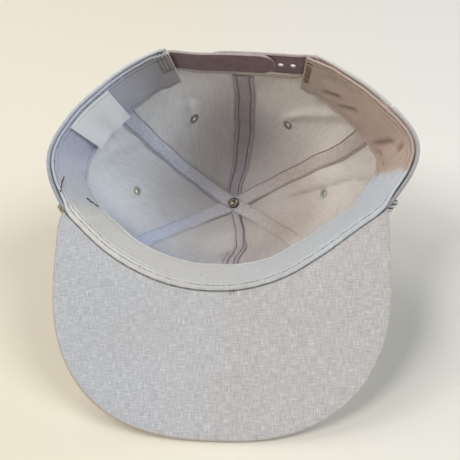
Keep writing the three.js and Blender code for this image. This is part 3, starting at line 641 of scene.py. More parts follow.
def seam_tape(name, first_seam, second_seam, layer):
    low, high = tape_reach(first_seam, second_seam)

    def place(along, across, level):
        half = tape_half(layer, along)
        row = tape_row(layer, along)
        inner = across * row / TAPE_ROW
        outer = np.sign(across) * lerp(row, 1, (np.abs(across) - TAPE_ROW) / (1 - TAPE_ROW))
        across = np.where(np.abs(across) < TAPE_ROW, inner, outer)
        sideways = half * across + tape_middle(layer, along)
        azimuth, from_top = tape_place(first_seam, second_seam, along, sideways)
        tube, kink = 0.7 * (1 - across * across), 1.2 * np.exp(-(((along - KINK) / 3) ** 2))
        raised = front_part(layer, along) * (tube + kink) * (level > 0.1)
        lift = tape_lift(layer, from_top) + level * TAPE_CLOTH + raised
        cloth = np.stack([across * half, along], axis=1)
        to_row = half * np.abs(np.abs(across) - row)
        return on_crown(azimuth, from_top, lift), cloth, {"to_row": to_row, "along": along}

    return strip(name, end_steps(low, high, 150), TAPE_SECTION, place)


for name, row in TAPES.items():
    pieces[name] = finish(seam_tape(name, *row), "seam_tape", name)

# %% [markdown]
# ## The sweatband
# A strip of cotton hangs from the headband and stands off the crown towards its free edge.
# Its section starts at that edge, runs up the face over two stitch rows, folds over the seam at the
# brim as a soft lip, and returns behind. Shallow dents and ripples keep it from looking machined, and a
# few sharp creases lie where a head has bent it. They come from the same crease() as the crown's.

# %% Sweatband
BAND_WIDTH, BAND_FROM, BAND_TO = 31.0, 113.0, 404.0
BAND_LIFT = TAPE_CLOTH + TAPE_GAP + GAP
STRAP_ROOM = 1.3
BRIM_FROM, BRIM_TO = -158.5, -19.5
STITCH_ROWS = (0.05, 2.4)  # distance down from the hem; the first follows the lip
FREE_HEM_ROW = 28.3
BAND_MM_PER_DEGREE = 1.45
BAND_DENTS = [  # azimuth, distance down from the hem, push out of the hollow, spread, length
    (390, 16, -0.9, 4, 3), (377, 24, -1.0, 3, 4), (370, 17, -0.8, 3, 6), (360, 19, -1.3, 2.4, 5),
    (352, 22, 1.2, 3, 6), (125, 18, 1.3, 4, 5), (136, 25, -1.2, 5, 5), (172, 26, 1.3, 4, 4),
    (180, 27, -1.0, 3, 4), (187, 26, 1.0, 3, 4), (388, 9, 0.8, 7, 4), (374, 12, -0.8, 6, 6),
]
BAND_CREASES = [  # azimuth and distance down at each end, push out of the hollow, width
    (386, 26, 378, 18, 1.4, 1.5), (366.5, 27, 363.5, 12, 1.5, 1.5), (365, 27, 356, 24, 1.2, 1.5),
    (360, 12.5, 361.5, 6, 1.0, 1.3), (394, 23.5, 386, 17, 1.5, 1.7),
]
BAND_SECTION = np.array([
    # distance down from the hem, lift as a share of the cloth, share of the lip's reach
    (31.0, 0.5, 0), (30.9, 0.85, 0), (30.5, 1.15, 0), (29.6, 1.35, 0), (28.9, 1.3, 0), (28.5, 0.8, 0),
    (28.1, 0.75, 0), (27.6, 1, 0), *((down, 1, 0) for down in np.arange(26.6, 5.5, -1.0)),
    (4.2, 1.15, 0), (3.1, 1.15, 0), (2.7, 0.9, 0.01), (2.4, 0.5, 0.02), (2.1, 0.9, 0.05), (1.7, 1.2, 0.1),
    (1.0, 1.25, 0.2), (0.5, 1.15, 0.32), (0.25, 0.85, 0.38), (0.05, 0.55, 0.43), (-0.15, 0.85, 0.48),
    (-0.45, 1.25, 0.6), (-0.8, 1.35, 0.78), (-1.1, 1.2, 0.92), (-1.25, 0.8, 1), (-1.2, 0.3, 1),
    (-1.0, 0, 0.95), (0.6, 0, 0), (6, 0, 0), (14, 0, 0), (22, 0, 0), (30, 0, 0), (30.8, 0.15, 0),
])
LIP_REACH, LIP_RISE, REAR_DROP = 2.7, 0.9, 2.5


def stand_off(azimuth):
    """How far the free edge stands off the crown: most at the front."""
    return 1.5 + 3.5 * np.maximum(0, np.cos(np.radians(azimuth + 90))) ** 2


def over_brim(azimuth):
    """1 where the band is folded over the brim's seam and 0 where there is no brim."""
    a = angle_between(azimuth, (BRIM_FROM + BRIM_TO) / 2)
    half = (BRIM_TO - BRIM_FROM) / 2
    return fall(np.abs(a), half - 4, half + 6)


def from_band_end(azimuth):
    return np.minimum(azimuth - BAND_FROM, BAND_TO - azimuth)


def band_lift(azimuth, down):
    near_end = fall(from_band_end(azimuth), 4, 14)
    spread = stand_off(azimuth) * smoothstep(down, 0, BAND_WIDTH)
    ripple = -pushes(BAND_DENTS, BAND_CREASES, azimuth, down)
    wave = np.sin(azimuth * 0.33) * 0.3 + np.sin(azimuth * 0.77 + 1.3) * 0.15
    ripple += wave * smoothstep(down, 8, 30) * (0.3 + 0.7 * (1 - over_brim(azimuth)))
    tack = fall(azimuth, 120.5, 122.5) * fall(down, 14, 18)
    ripple += 0.45 * tack * np.cos((azimuth - BAND_FROM) * 2 * np.pi / 1.9)
    leaning = 0.6 * (1 - over_brim(azimuth)) * fall(down, 1, 5)
    return BAND_LIFT + STRAP_ROOM * near_end + spread + ripple - leaning


def on_band(azimuth, down, extra):
    from_top = full_length(azimuth) - down
    return on_crown(azimuth, from_top, band_lift(azimuth, down) + extra)


def band_row_drop(azimuth, down):
    """How much lower the top of the band sits where it isn't folded over the brim."""
    ends = smoothstep(from_band_end(azimuth), 8, 16)
    return REAR_DROP * (1 - over_brim(azimuth)) * (0.45 + 0.55 * ends) * fall(down, 3, 14)


def band_narrowing(azimuth):
    """How far the free edge is drawn up: a little all along the front, more at the front left."""
    return 1.6 * over_brim(azimuth) + 3.6 * np.exp(-(((azimuth - 228) / 15) ** 2))


def band_place(azimuth, row):
    down, level, lip = BAND_SECTION[row].T
    lip = lip * over_brim(azimuth)
    at = down - LIP_RISE * lip + band_row_drop(azimuth, down)
    at = at - band_narrowing(azimuth) * smoothstep(down, 6, 31)
    at = at + 0.25 * np.sin(azimuth * 0.9) * smoothstep(down, 27, 30)
    puckers = 0.12 * np.sin(azimuth * 7.3) * np.sin(azimuth * 2.9) * fall(down, 3, 7)
    lift = (level + puckers) * BAND_CLOTH - LIP_REACH * lip
    cloth = np.stack([azimuth * BAND_MM_PER_DEGREE, at + (level < 0.2) * 3], axis=1)
    second_row = 0.35 + 0.65 * over_brim(azimuth)
    to_row = np.minimum(np.abs(down - STITCH_ROWS[0]), np.abs(down - STITCH_ROWS[1]) / second_row)
    to_row = np.minimum(to_row, np.abs(down - FREE_HEM_ROW) * 0.7 + 0.12)
    marks = {"around": azimuth, "fold": folds(BAND_CREASES, azimuth, down), "to_row": to_row}
    return on_band(azimuth, at, lift), cloth, marks


band_stations = np.unique(np.concatenate([
    end_steps(BAND_FROM, BAND_TO, 520, 0.25), np.arange(BAND_FROM + 1, BAND_FROM + 10, 0.25)
]))
sweatband = draped(
    "sweatband", len(band_stations) - 1, len(BAND_SECTION),
    lambda i, j: band_place(band_stations[i], j % len(BAND_SECTION)), sharp=60,
)
pieces["sweatband"] = finish(sweatband, "band_cloth", "sweatband")

# %% [markdown]
# ## The label
# A white woven label is sewn to the sweatband by its top edge. It is left blank, with a pressed fold
# near the top, and its lower corners curl away from the cloth a little.

# %% Label
LABEL_FROM, LABEL_TO, LABEL_TOP, LABEL_FOOT = 147.5, 167.8, 3.0, 30.6
LABEL_CLOTH = 0.45
LABEL_SEAT = BAND_CLOTH * 1.3 + 0.3  # how high the label lies over the back of the band
LABEL_SECTION = flat_section(
    np.append([LABEL_TOP, 3.2, 4.4, 5.0, 5.4, 5.8, 6.4], np.linspace(8, LABEL_FOOT, 14))
)


def label_place(azimuth, down, level):
    across = (azimuth - LABEL_FROM) / (LABEL_TO - LABEL_FROM)
    corner = np.abs(across - 0.5) * 2
    curl = 1.5 * smoothstep(down, 16, 31) * (0.35 + 0.65 * corner**2) + 0.4 * np.sin(across * 5) ** 2
    fold = 0.35 * np.exp(-((down - 4.4) / 0.6) ** 2) - 0.25 * np.exp(-((down - 5.4) / 0.4) ** 2)
    lift = LABEL_SEAT + curl * smoothstep(down, 4, 12) + fold + level * LABEL_CLOTH
    cloth = np.stack([azimuth * 1.5, down], axis=1)
    return on_band(azimuth, down, lift), cloth, {}


label_stations = end_steps(LABEL_FROM, LABEL_TO, 26, 0.1)
label = strip("label", label_stations, LABEL_SECTION, label_place)
pieces["label"] = finish(label, "label_cloth", "label")

# %% [markdown]
# ## Binding of the back opening
# A narrow folded strip wraps the raw edge of the arch. Its section is a rounded channel: along the
# outside of the cloth, round the edge and back along the inside.

# %% Binding
BINDING_CLOTH = 0.9
INNER_FACE, OUTER_FACE = 0.15, -(PANEL_CLOTH + 0.15)


def beyond(face, share):
    """A lift that is a share of the binding's own cloth away from a face of the panel."""
    return face + math.copysign(share * BINDING_CLOTH, face)


BINDING_SECTION = np.array([
    # depth into the cloth from its edge, lift
    (4.0, OUTER_FACE), (4.1, beyond(OUTER_FACE, 0.5)), (3.7, beyond(OUTER_FACE, 1)),
    (2, beyond(OUTER_FACE, 1.1)), (0, beyond(OUTER_FACE, 1)), (-0.9, beyond(OUTER_FACE, 0.5)),
    (-1.3, -0.9), (-1.3, -0.5), (-0.9, 0.8), (0, beyond(INNER_FACE, 1)), (2, beyond(INNER_FACE, 1.1)),
    (3.7, beyond(INNER_FACE, 1)), (4.1, beyond(INNER_FACE, 0.5)), (4.0, INNER_FACE), (0.3, INNER_FACE),
    (-0.15, -0.7), (0.3, OUTER_FACE),
])


def binding_place(angle, depth, lift):
    azimuth, from_top = arch_place(angle)
    before, after = arch_place(angle + 1), arch_place(angle - 1)
    here, normal = crown_and_inward(azimuth, from_top)
    into = unit(np.cross(normal, crown(*after) - crown(*before)))
    point = here + into * depth[:, None] + normal * lift[:, None]
    cloth = np.stack([angle * 0.9, depth + 6 * (lift > 0)], axis=1)
    return point, cloth, {}


binding_stations = np.linspace(155, 25, 90)
binding = strip("binding", binding_stations, BINDING_SECTION, binding_place)
pieces["binding"] = finish(binding, "seam_tape", "back_opening_binding")

# %% [markdown]
# ## The brim
# The brim is a flat board covered in slubbed cotton. A grid runs from the curved joint with the crown
# out to the edge, wraps round it and comes back underneath. The edge is a squared-off half ellipse,
# measured along its length so that the columns fan out evenly.

# %% Brim outline
BRIM_COLUMNS = 240


def brim_back():
    azimuth = np.linspace(BRIM_FROM, BRIM_TO, 121)
    here = crown(azimuth, full_length(azimuth))
    ahead = crown(azimuth + 1, full_length(azimuth + 1)) - here
    out = unit(np.stack([ahead[:, 1], -ahead[:, 0]], axis=1))
    return here[:, :2] + out * (PANEL_CLOTH + GAP)


def even(points, count):
    """The same path, with its points spaced evenly."""
    length = length_along(points)
    return sample(np.linspace(0, length[-1], count), length, points)


def brim_front(left, right):
    angle = np.radians(np.linspace(180, 360, 181))
    power = 2 / 2.5  # below 1 squares off the half ellipse
    x = np.sign(np.cos(angle)) * np.abs(np.cos(angle)) ** power * BRIM_HALF_WIDTH
    y = BRIM_CENTRE_Y - BRIM_REACH * np.abs(np.sin(angle)) ** power
    left_ear = (left + (-0.3, 0.2), left + (-0.9, -0.8), (-90.2, left[1] - 4), (-91.0, left[1] - 9))
    right_ear = ((91.3, right[1] - 6), (91.4, right[1] - 1.6), (91.2, right[1] - 0.4), right + (0.2, 0.3))
    return even(np.vstack([left_ear, np.stack([x, y], axis=1), right_ear]), BRIM_COLUMNS + 1)


joint = even(brim_back(), BRIM_COLUMNS + 1)
edge = brim_front(joint[0], joint[-1])
print("brim is", round(float(np.ptp(edge[:, 0])), 1), "mm wide")

# %% [markdown]
# Close to the edge the cloth wraps the board, so its rows are measured back from the edge. Elsewhere
# they share out the distance from the joint. At an ear the board is short, and the wrap shrinks with it.

# %% Brim
BRIM_RIM, FAR = 2.6, 99.0
BRIM_ROWS = np.array(  # share of the way out, distance from the edge if near it, level
    [(share, FAR, 1.0) for share in np.linspace(0, 0.98, 46)]
    + [(1, away, level) for away, level in (
        (BRIM_RIM, 1.0), (2.0, 0.86), (1.6, 1.0), (1.1, 0.97), (0.5, 0.76), (0.12, 0.4), (0, 0),
        (0.12, -0.4), (0.5, -0.76), (1.1, -0.97), (2, -1.0))]
    + [(share, FAR, -1.0) for share in np.linspace(0.98, 0, 24)]
)


def brim_place(i, j):
    back, front = joint[i], edge[i]
    share, away, level = BRIM_ROWS[j].T
    length = np.linalg.norm(front - back, axis=1)
    rim = np.minimum(BRIM_RIM, length * 0.5)
    from_edge = np.where(away < FAR, away / BRIM_RIM * rim, rim + (length - rim) * (1 - share))
    flat = back + (front - back) * (1 - from_edge / length)[:, None]
    swell = 0.12 * np.sin(flat[:, 0] * 0.11 + 0.6) * np.sin(flat[:, 1] * 0.09)
    z = level * BRIM_THICKNESS / 2 + swell * smoothstep(from_edge, BRIM_RIM, 12)
    cloth = np.stack([flat[:, 0], flat[:, 1] + 200 * (level < 0)], axis=1)
    marks = {"from_edge": from_edge, "from_joint": length - from_edge}
    return np.column_stack([flat, z]), cloth, marks


def brim_carry(i, j):
    return brim_place(i, np.where(j == len(BRIM_ROWS), 0, j))


brim = draped("brim", BRIM_COLUMNS, len(BRIM_ROWS), brim_carry)
pieces["brim"] = finish(brim, "brim_cloth", "brim")

# %% [markdown]
# ## The cord
# A three-strand cord lies in the corner between crown and brim. Its section is the outline of three
# touching circles, turned a little further at each station, so the strands wind round each other.
# Three separate tubes would hide most of their faces inside, where no one sees them.

# %% Cord
ROPE_RADIUS, ROPE_DROP, ROPE_CLEARANCE = 2.3, 4.8, 0.3
ROPE_FROM, ROPE_TO = -163.5, -15
ROPE_PITCH = 8.5
strand = ROPE_RADIUS / (1 + 2 / math.sqrt(3))
centre_out = ROPE_RADIUS - strand
turns = np.linspace(0, 2 * np.pi, 37)[:-1]
lobe = np.pi / 3 - np.abs(np.mod(turns, 2 * np.pi / 3) - np.pi / 3)
across_strand = np.sqrt(np.maximum(0, strand**2 - (centre_out * np.sin(lobe)) ** 2))
outline = centre_out * np.cos(lobe) + across_strand
ROPE_SECTION = np.stack([turns, outline], axis=1)

rope_stations = np.linspace(0, 1, 420)
rope_azimuth = lerp(ROPE_FROM, ROPE_TO, rope_stations)
rope_from_top = full_length(rope_azimuth) - ROPE_DROP
rope_offset = -(PANEL_CLOTH + ROPE_CLEARANCE + ROPE_RADIUS)
rope_centre = on_crown(rope_azimuth, rope_from_top, rope_offset)
rope_length = length_along(rope_centre)
rope_tangent = unit(np.gradient(rope_centre, axis=0))
rope_side = crown_and_inward(rope_azimuth, rope_from_top)[1]
rope_side = unit(rope_side - rope_tangent * (rope_side * rope_tangent).sum(axis=1)[:, None])
rope_up = np.cross(rope_tangent, rope_side)


def rope_place(station, turn, out):
    k = np.rint(station * (len(rope_stations) - 1)).astype(int)
    wind = turn + 2 * np.pi * rope_length[k] / ROPE_PITCH
    from_end = np.minimum(rope_length[k], rope_length[-1] - rope_length[k])
    radius = out * (0.55 + 0.45 * rolled(from_end, 1.2))
    point = rope_centre[k] + rope_side[k] * (radius * np.cos(wind))[:, None]
    point = point + rope_up[k] * (radius * np.sin(wind))[:, None]
    cloth = np.stack([rope_length[k], turn * ROPE_RADIUS], axis=1)
    groove = 1 - (out - outline.min()) / np.ptp(outline)
    return point, cloth, {"groove": groove, "along": station}


rope = strip("rope", rope_stations, ROPE_SECTION, rope_place, sharp=100)
pieces["rope"] = finish(rope, "cord", "rope")
print("the cord's own length is", round(float(rope_length[-1]), 1), "mm")

# %% [markdown]
# ## The snap strap
# Two moulded bands overlap across the opening: the outer one has holes, and the inner one has pegs
# that snap into them. Each band is a strip whose height shrinks to a half round at its tip.
# A raised rim follows the edge, so the lift depends on how far a place is from that edge.

# %% The strap's route
STRAP_POINTS = 401
STRAP_SHEET, STRAP_HEIGHT, STRAP_RISE, STRAP_BOW = 0.9, 19.0, 0.5, 1.5
OUTER_TIP, INNER_TIP = 0.68, 0.32
STRAP_RIGHT, STRAP_LEFT = (33, 37, 41), (115, 119, 123)  # azimuths at its sewn ends
STRAP_LIFT = 0.4
STRAP_TUCK = 5.0  # how much lower its ends sit, out of sight under the sweatband
STRAP_TILT = 1.3  # how much lower the left end sits than the right


def strap_edge(down):
    """An edge of the strap: on the crown at both ends, and bowed across the opening between them."""
    def on_cloth(azimuths):
        azimuth = np.array(azimuths, float)
        tucked = STRAP_TUCK * smoothstep(np.abs(azimuth - ARCH_CENTRE), ARCH_HALF_SPREAD, 42)
        tilted = STRAP_TILT * (azimuth > ARCH_CENTRE)
        return on_crown(azimuth, full_length(azimuth) - down - tucked - tilted, STRAP_LIFT)

    right, left = on_cloth(STRAP_RIGHT), on_cloth(STRAP_LEFT)
    shares = np.array([0.15, 0.4, 0.6, 0.85])
    between = right[-1] + (left[0] - right[-1]) * shares[:, None]
    between[:, 1] += STRAP_BOW * np.sin(np.pi * shares)
    return smooth_path(np.vstack([right, between, left]))


def smooth_path(knots):
    """Evenly spaced points of a smooth curve through the knots, and its length."""
    chord = np.linalg.norm(np.diff(knots, axis=0), axis=1) ** 0.5
    at = np.concatenate([[0], np.cumsum(chord)])
    slope = np.gradient(knots, at, axis=0)
    fine = np.linspace(0, at[-1], 600)
    k = np.clip(np.searchsorted(at, fine, side="right") - 1, 0, len(at) - 2)
    h = at[k + 1] - at[k]
    t = ((fine - at[k]) / h)[:, None]
    a, b = knots[k], knots[k + 1]
    m, n = slope[k] * h[:, None], slope[k + 1] * h[:, None]
    curve = (2 * t**3 - 3 * t**2 + 1) * a + (t**3 - 2 * t**2 + t) * m
    curve = curve + (-2 * t**3 + 3 * t**2) * b + (t**3 - t**2) * n
    return even(curve, STRAP_POINTS), length_along(curve)[-1]


strap_top, STRAP_LENGTH = strap_edge(-STRAP_RISE)
strap_foot, _ = strap_edge(STRAP_HEIGHT - STRAP_RISE)
strap_tangent = np.gradient(strap_top, axis=0)
strap_inward = np.stack([-strap_tangent[:, 1], strap_tangent[:, 0], np.zeros(STRAP_POINTS)], axis=1)
strap_inward = unit(strap_inward * -np.sign(strap_inward[:, 1])[:, None])


def along_strap(path, share):
    return sample(share, np.linspace(0, 1, STRAP_POINTS), path)


def strap_place(share, up, lift):
    foot, top = along_strap(strap_foot, share), along_strap(strap_top, share)
    return foot + (top - foot) * up[:, None] + along_strap(strap_inward, share) * lift[:, None]


print("strap path, mm:", round(float(STRAP_LENGTH), 1))

# %% [markdown]
# One function makes both bands. Stations crowd together near the tip, so the half round stays smooth.
# The inner band lies over the outer one, and comes down to the crown past the outer band's tip.

# %% Two bands
half_steps = np.concatenate([[0, 0.02, 0.06, 0.1, 0.16, 0.22], np.linspace(0.3, 0.7, 5)])
STRAP_SECTION = flat_section(np.unique(np.concatenate([half_steps, 1 - half_steps])) * 2 - 1)
TIP_STEPS = np.array([0, 0.004, 0.015, 0.04, 0.08, 0.14, 0.22, 0.34, 0.5, 0.7, 1.0])


def inner_lift(share):
    """How far the inner band is raised, by the sheet of the outer one behind it."""
    return (STRAP_SHEET + GAP) * fall(share, OUTER_TIP + 0.02, OUTER_TIP + 0.17)


def strap_band(name, start, end, base_lift, tip_at_start):
    half = STRAP_HEIGHT / 2
    near = TIP_STEPS * half / STRAP_LENGTH
    tip = start if tip_at_start else end
    body = np.linspace(near[-1], end - start, 70)[1:]
    from_tip_share = np.concatenate([near, body])
    stations = tip + from_tip_share if tip_at_start else (tip - from_tip_share)[::-1]

    def place(share, across, level):
        from_tip = np.abs(share - tip) * STRAP_LENGTH
        tall = np.maximum(np.where(from_tip < half, rolled(from_tip, half), 1.0), 0.02)
        side = half * tall * (1 - np.abs(across))
        to_edge = np.minimum(side, np.where(from_tip < half, from_tip * 1.2 + side * 0.2, FAR))
        rim = 0.4 * fall(to_edge, 0.9, 1.6) * rolled(to_edge, 0.5)
        soft = 0.75 + 0.25 * rolled(to_edge, 0.4)
        lift = base_lift(share) + (level - 0.5) * STRAP_SHEET * soft + STRAP_SHEET / 2 + level * rim
        point = strap_place(share, 0.5 + 0.5 * across * tall, lift)
        cloth = np.stack([share * STRAP_LENGTH, across * half], axis=1)
        return point, cloth, {"to_edge": to_edge}

    return strip(name, stations, STRAP_SECTION, place, sharp=35)


outer = strap_band("strap_outer", 0.0, OUTER_TIP, lambda share: share * 0, False)
inner = strap_band("strap_inner", INNER_TIP, 1.0, inner_lift, True)

# %% [markdown]
# The holes are round and evenly spaced, cut as the eyelets were. The pegs are short cones with a
# rounded head, made with create_cone and joined to the inner band.

# %% Holes and pegs
FIRST_HOLE, HOLE_PITCH, HOLE_UP = 0.229, 0.064, 0.45  # shares of the length and the height
HOLE_NUMBERS, PEG_NUMBERS = range(6), (2, 3, 4, 5, 8, 9)
STEM_FOOT, STEM_TOP, STEM_LENGTH, HEAD_RADIUS = 0.0012, 0.0013, 0.0022, 0.0018  # metres
HEAD_FLAT = Matrix.Diagonal((1, 1, 0.42, 1))


def across_strap(number, lift):
    """A matrix that stands a shape on the strap at a numbered hole, its +Z into the hollow."""
    share, up = np.array([FIRST_HOLE + HOLE_PITCH * number]), np.array([HOLE_UP])
    here, there = (world_vector(strap_place(share, up, np.array([at]))) for at in (lift, lift + 1.0))
    return Matrix.Translation(here) @ (there - here).to_track_quat("Z", "Y").to_matrix().to_4x4()


cut_holes(outer, [across_strap(number, STRAP_SHEET / 2) for number in HOLE_NUMBERS])


def add_pegs(band):
    bm = bmesh.new()
    bm.from_mesh(band.data)
    for number in PEG_NUMBERS:
        foot = float(inner_lift(FIRST_HOLE + HOLE_PITCH * number))
        bmesh.ops.create_cone(bm, cap_ends=True, segments=20, radius1=STEM_FOOT, radius2=STEM_TOP,
                              depth=STEM_LENGTH, matrix=across_strap(number, foot - 0.9))
        bmesh.ops.create_uvsphere(bm, u_segments=20, v_segments=10, radius=HEAD_RADIUS,
                                  matrix=across_strap(number, foot - 2.1) @ HEAD_FLAT)
    bm.to_mesh(band.data)
    bm.free()
    smoothed(band.data, 40)


add_pegs(inner)
pieces["strap_outer"] = finish(outer, "strap_plastic", "strap_outer")
pieces["strap_inner"] = finish(inner, "strap_plastic", "strap_inner")

# %% [markdown]
# ## Button and rivet
# At the top of the crown a cloth-covered button outside is held by a metal rivet inside.
# Both are turned shapes: half a profile is drawn as a chain of edges, and spin turns it about Z.

# %% Turned pieces
def turned(name, profile, place, steps=48):
    """A half profile of radius and height in mm, spun about Z and stood at a place."""
    bm = bmesh.new()
    chain = [bm.verts.new((radius / 1000, 0, height / 1000)) for radius, height in profile]
    edges = [bm.edges.new(pair) for pair in zip(chain, chain[1:])]
    bmesh.ops.spin(bm, geom=chain + edges, axis=(0, 0, 1), cent=(0, 0, 0), angle=2 * math.pi,
                   steps=steps, use_merge=True)
    bmesh.ops.remove_doubles(bm, verts=bm.verts, dist=1e-6)
    bmesh.ops.recalc_face_normals(bm, faces=bm.faces)
    layer = bm.loops.layers.uv.new("cloth")
    for face in bm.faces:
        for loop in face.loops:
            loop[layer].uv = loop.vert.co.xy
    bmesh.ops.transform(bm, matrix=place, verts=bm.verts)
    for vert in bm.verts:
        vert.co.z = max(vert.co.z, 0)  # nothing goes through the table
    return new_object(name, smoothed(as_mesh(bm, name), 45))


top_point = world_vector(np.array([[CROWN_X, CROWN_Y, -CROWN_DEPTH]]))
top_place = Matrix.Translation(top_point) @ Matrix.Rotation(TIP, 4, "X")
OUTSIDE, SEAT = -(PANEL_CLOTH + GAP), TAPE_GAP + 3 * LAYER_STEP  # of the crown, and of the rivet
BUTTON_RADIUS, DOME_FROM, DOME_HEIGHT = 8.0, 1.5, 3.0
button_dome = [(BUTTON_RADIUS * math.cos(a), DOME_FROM + DOME_HEIGHT * math.sin(a))
               for a in np.radians([15, 30, 45, 60, 75])]
BUTTON_PROFILE = [(radius, OUTSIDE - down) for radius, down in (
    (0, 0), (7.0, 0), (7.6, 0.1), (BUTTON_RADIUS, 0.7), (7.9, DOME_FROM), *button_dome,
    (0, DOME_FROM + DOME_HEIGHT),
)]
RIVET_PROFILE = [(0, OUTSIDE), (1.3, OUTSIDE)] + [(radius, SEAT + up) for radius, up in (
    (1.3, 0), (3.7, 0), (4.0, 0.15), (4.05, 0.6), (3.9, 1.0), (3.5, 1.35), (3.1, 1.45), (2.7, 1.35),
    (2.35, 0.95), (2.0, 0.6), (1.6, 0.75), (1.2, 0.95), (0.6, 1.05), (0, 1.05),
)]
pieces["button"] = finish(turned("top_button", BUTTON_PROFILE, top_place), "crown_cloth", "top_button")
pieces["rivet"] = finish(turned("rivet", RIVET_PROFILE, top_place), "rivet_metal", "rivet")

# %% [markdown]
# ## Thread
# Stitches are the same small shape many times. One lozenge is made with create_uvsphere and copied by
# doubling with duplicate. Each doubling moves the new half further along X, so a copy's number can
# be read from its place in that row. Then NumPy carries all of them to the cloth at once: each has
# three stretched axes and a centre.

# %% Many small stitches
def thread_piece(name, centres, frames):
    spacing = 3.0  # wider than a lozenge, so that copies in the row don't touch
    bm = bmesh.new()
    bmesh.ops.create_uvsphere(bm, u_segments=6, v_segments=4, radius=1)
    copies = 1
    while copies < len(centres):
        twin = bmesh.ops.duplicate(bm, geom=bm.verts[:] + bm.edges[:] + bm.faces[:])
        moved = [part for part in twin["geom"] if isinstance(part, bmesh.types.BMVert)]
        bmesh.ops.translate(bm, verts=moved, vec=(spacing * copies, 0, 0))
        copies *= 2
    extra = [vert for vert in bm.verts if vert.co.x > spacing * (len(centres) - 0.5)]
    bmesh.ops.delete(bm, geom=extra, context="VERTS")
    mesh = as_mesh(bm, name)
    shape = vertex_places(mesh)
    number = np.rint(shape[:, 0] / spacing).astype(int)
    shape[:, 0] -= spacing * number
    points = np.einsum("vk,vkc->vc", shape, frames[number]) + centres[number]
    mesh.vertices.foreach_set("co", points.astype(np.float32).ravel())
    mesh.shade_smooth()
    return new_object(name, mesh)


def stitch_row(points, normals, pitch, length, width, wobble=0.0, seed=1):
    """Centres and frames of stitches along a path given in the cap's millimetres."""
    world = to_world(points)
    gone = length_along(world) * 1000
    count = max(2, int(gone[-1] / pitch))
    at = (np.arange(count) + 0.5) * gone[-1] / count
    centre = sample(at, gone, world)
    normal = unit(sample(at, gone, to_world(points + normals) - world))
    tangent = unit(np.gradient(centre, axis=0))
    side = np.cross(normal, tangent)
    random = np.random.default_rng(seed)
    tangent = tangent + side * random.normal(0, wobble, (count, 1))
    frames = np.stack([tangent * length / 2, side * width / 2, normal * width / 2], axis=1) / 1000
    return centre, frames


def sew(name, rows):
    centres, frames = (np.vstack(parts) for parts in zip(*rows))
    pieces[name] = finish(thread_piece(name, centres, frames), "eyelet_thread")


# %% [markdown]
# Each tape has a row of stitches along both sides. Outside, two rows follow each seam, and they are
# lifted where the crown is flattened on the table.

# %% Tape and seam stitches
SEAM_PITCH = 2.6
tape_rows, pale_rows, seam_rows = [], [], []
for first, second, layer in TAPES.values():
    low, high = tape_reach(first, second)
    along = np.linspace(low + 1, high - 1, 260)
    for side in (-1, 1):
        across = side * tape_half(layer, along) * tape_row(layer, along)
        azimuth, from_top = tape_place(first, second, along, across + tape_middle(layer, along))
        point, normal = crown_and_inward(azimuth, from_top)
        lift = tape_lift(layer, from_top) + TAPE_CLOTH * 0.45 + 0.4 * front_part(layer, along)
        top = point + normal * lift[:, None]
        front_rows = tape_rows if layer == 0 else pale_rows
        for part, rows in ((along < 3, tape_rows), (along > 3, front_rows)):
            rows.append(stitch_row(top[part], normal[part], SEAM_PITCH, 2.3, 0.42, 0.04))
        azimuth, from_top = tape_place(first, second, along, side * 3.6)
        point, normal = crown_and_inward(azimuth, from_top)
        sewn = clear_of_table(point - normal * (PANEL_CLOTH + 0.38), room=0.3)
        for part in (along < 0, along > 0):
            use = (from_top > 14) & part
            seam_rows.append(stitch_row(sewn[use], -normal[use], SEAM_PITCH, 2.1, 0.45, 0.04))
sew("tape_stitches", tape_rows)
sew("pale_tape_stitches", pale_rows)
sew("seam_stitches", seam_rows)

# %% [markdown]
# The sweatband's rows are read from its own section, so they stay in their grooves. The rows round the
# opening hold the binding on both faces.

# %% Sweatband, opening and label stitches
band_rows = []
face_rows = BAND_SECTION[:np.argmin(BAND_SECTION[:, 0]), 0]
for down, start, end in ((STITCH_ROWS[0], BAND_FROM + 2, BAND_TO - 2), (STITCH_ROWS[1], 198, 344)):
    row = int(np.argmin(np.abs(face_rows - down)))
    azimuth = np.linspace(start, end, 500)
    point = band_place(azimuth, np.full(500, row))[0]
    away = point - np.array([CROWN_X, CROWN_Y, 0])
    normal = unit(np.array([0, 0, 1]) - 0.02 * away)
    band_rows.append(stitch_row(point + 0.25 * normal, normal, 3.0, 2.1, 0.5, 0.1, seed=3))
arch_angle = np.linspace(152, 28, 120)
arch_azimuth, arch_top = arch_place(arch_angle)
arch_point, arch_normal = crown_and_inward(arch_azimuth, arch_top - 2.6)
for face, sign in ((INNER_FACE, 1), (OUTER_FACE, -1)):
    row = arch_point + arch_normal * beyond(face, 1.15)
    band_rows.append(stitch_row(row, arch_normal * sign, SEAM_PITCH, 2.1, 0.4, 0.05))
label_azimuth = np.linspace(LABEL_FROM + 0.6, LABEL_TO - 0.6, 40)
label_down = np.full(40, 4.0)
label_point = on_band(label_azimuth, label_down, LABEL_SEAT + LABEL_CLOTH + 0.35)
label_normal = crown_and_inward(label_azimuth, full_length(label_azimuth) - label_down)[1]
sew("band_stitches", band_rows)
sew("label_stitches", [stitch_row(label_point, label_normal, 2.0, 1.6, 0.3)])

# %% [markdown]
# Where the strap goes under the sweatband, a dense zigzag called a bar tack holds it. The real cap also
# has a shaded slit at the left, drawn as a painted shadow of dark thread, a few small repair stitches,
# and two loose ends on the brim.

# %% Bar tacks and loose ends
def band_line(places, steps=4):
    """Points and normals on the sweatband along a line through the places."""
    azimuth, down = np.vstack([np.linspace(a, b, steps) for a, b in zip(places, places[1:])]).T
    point = on_band(azimuth, down, BAND_CLOTH * 1.05)
    return point, crown_and_inward(azimuth, full_length(azimuth) - down)[1]


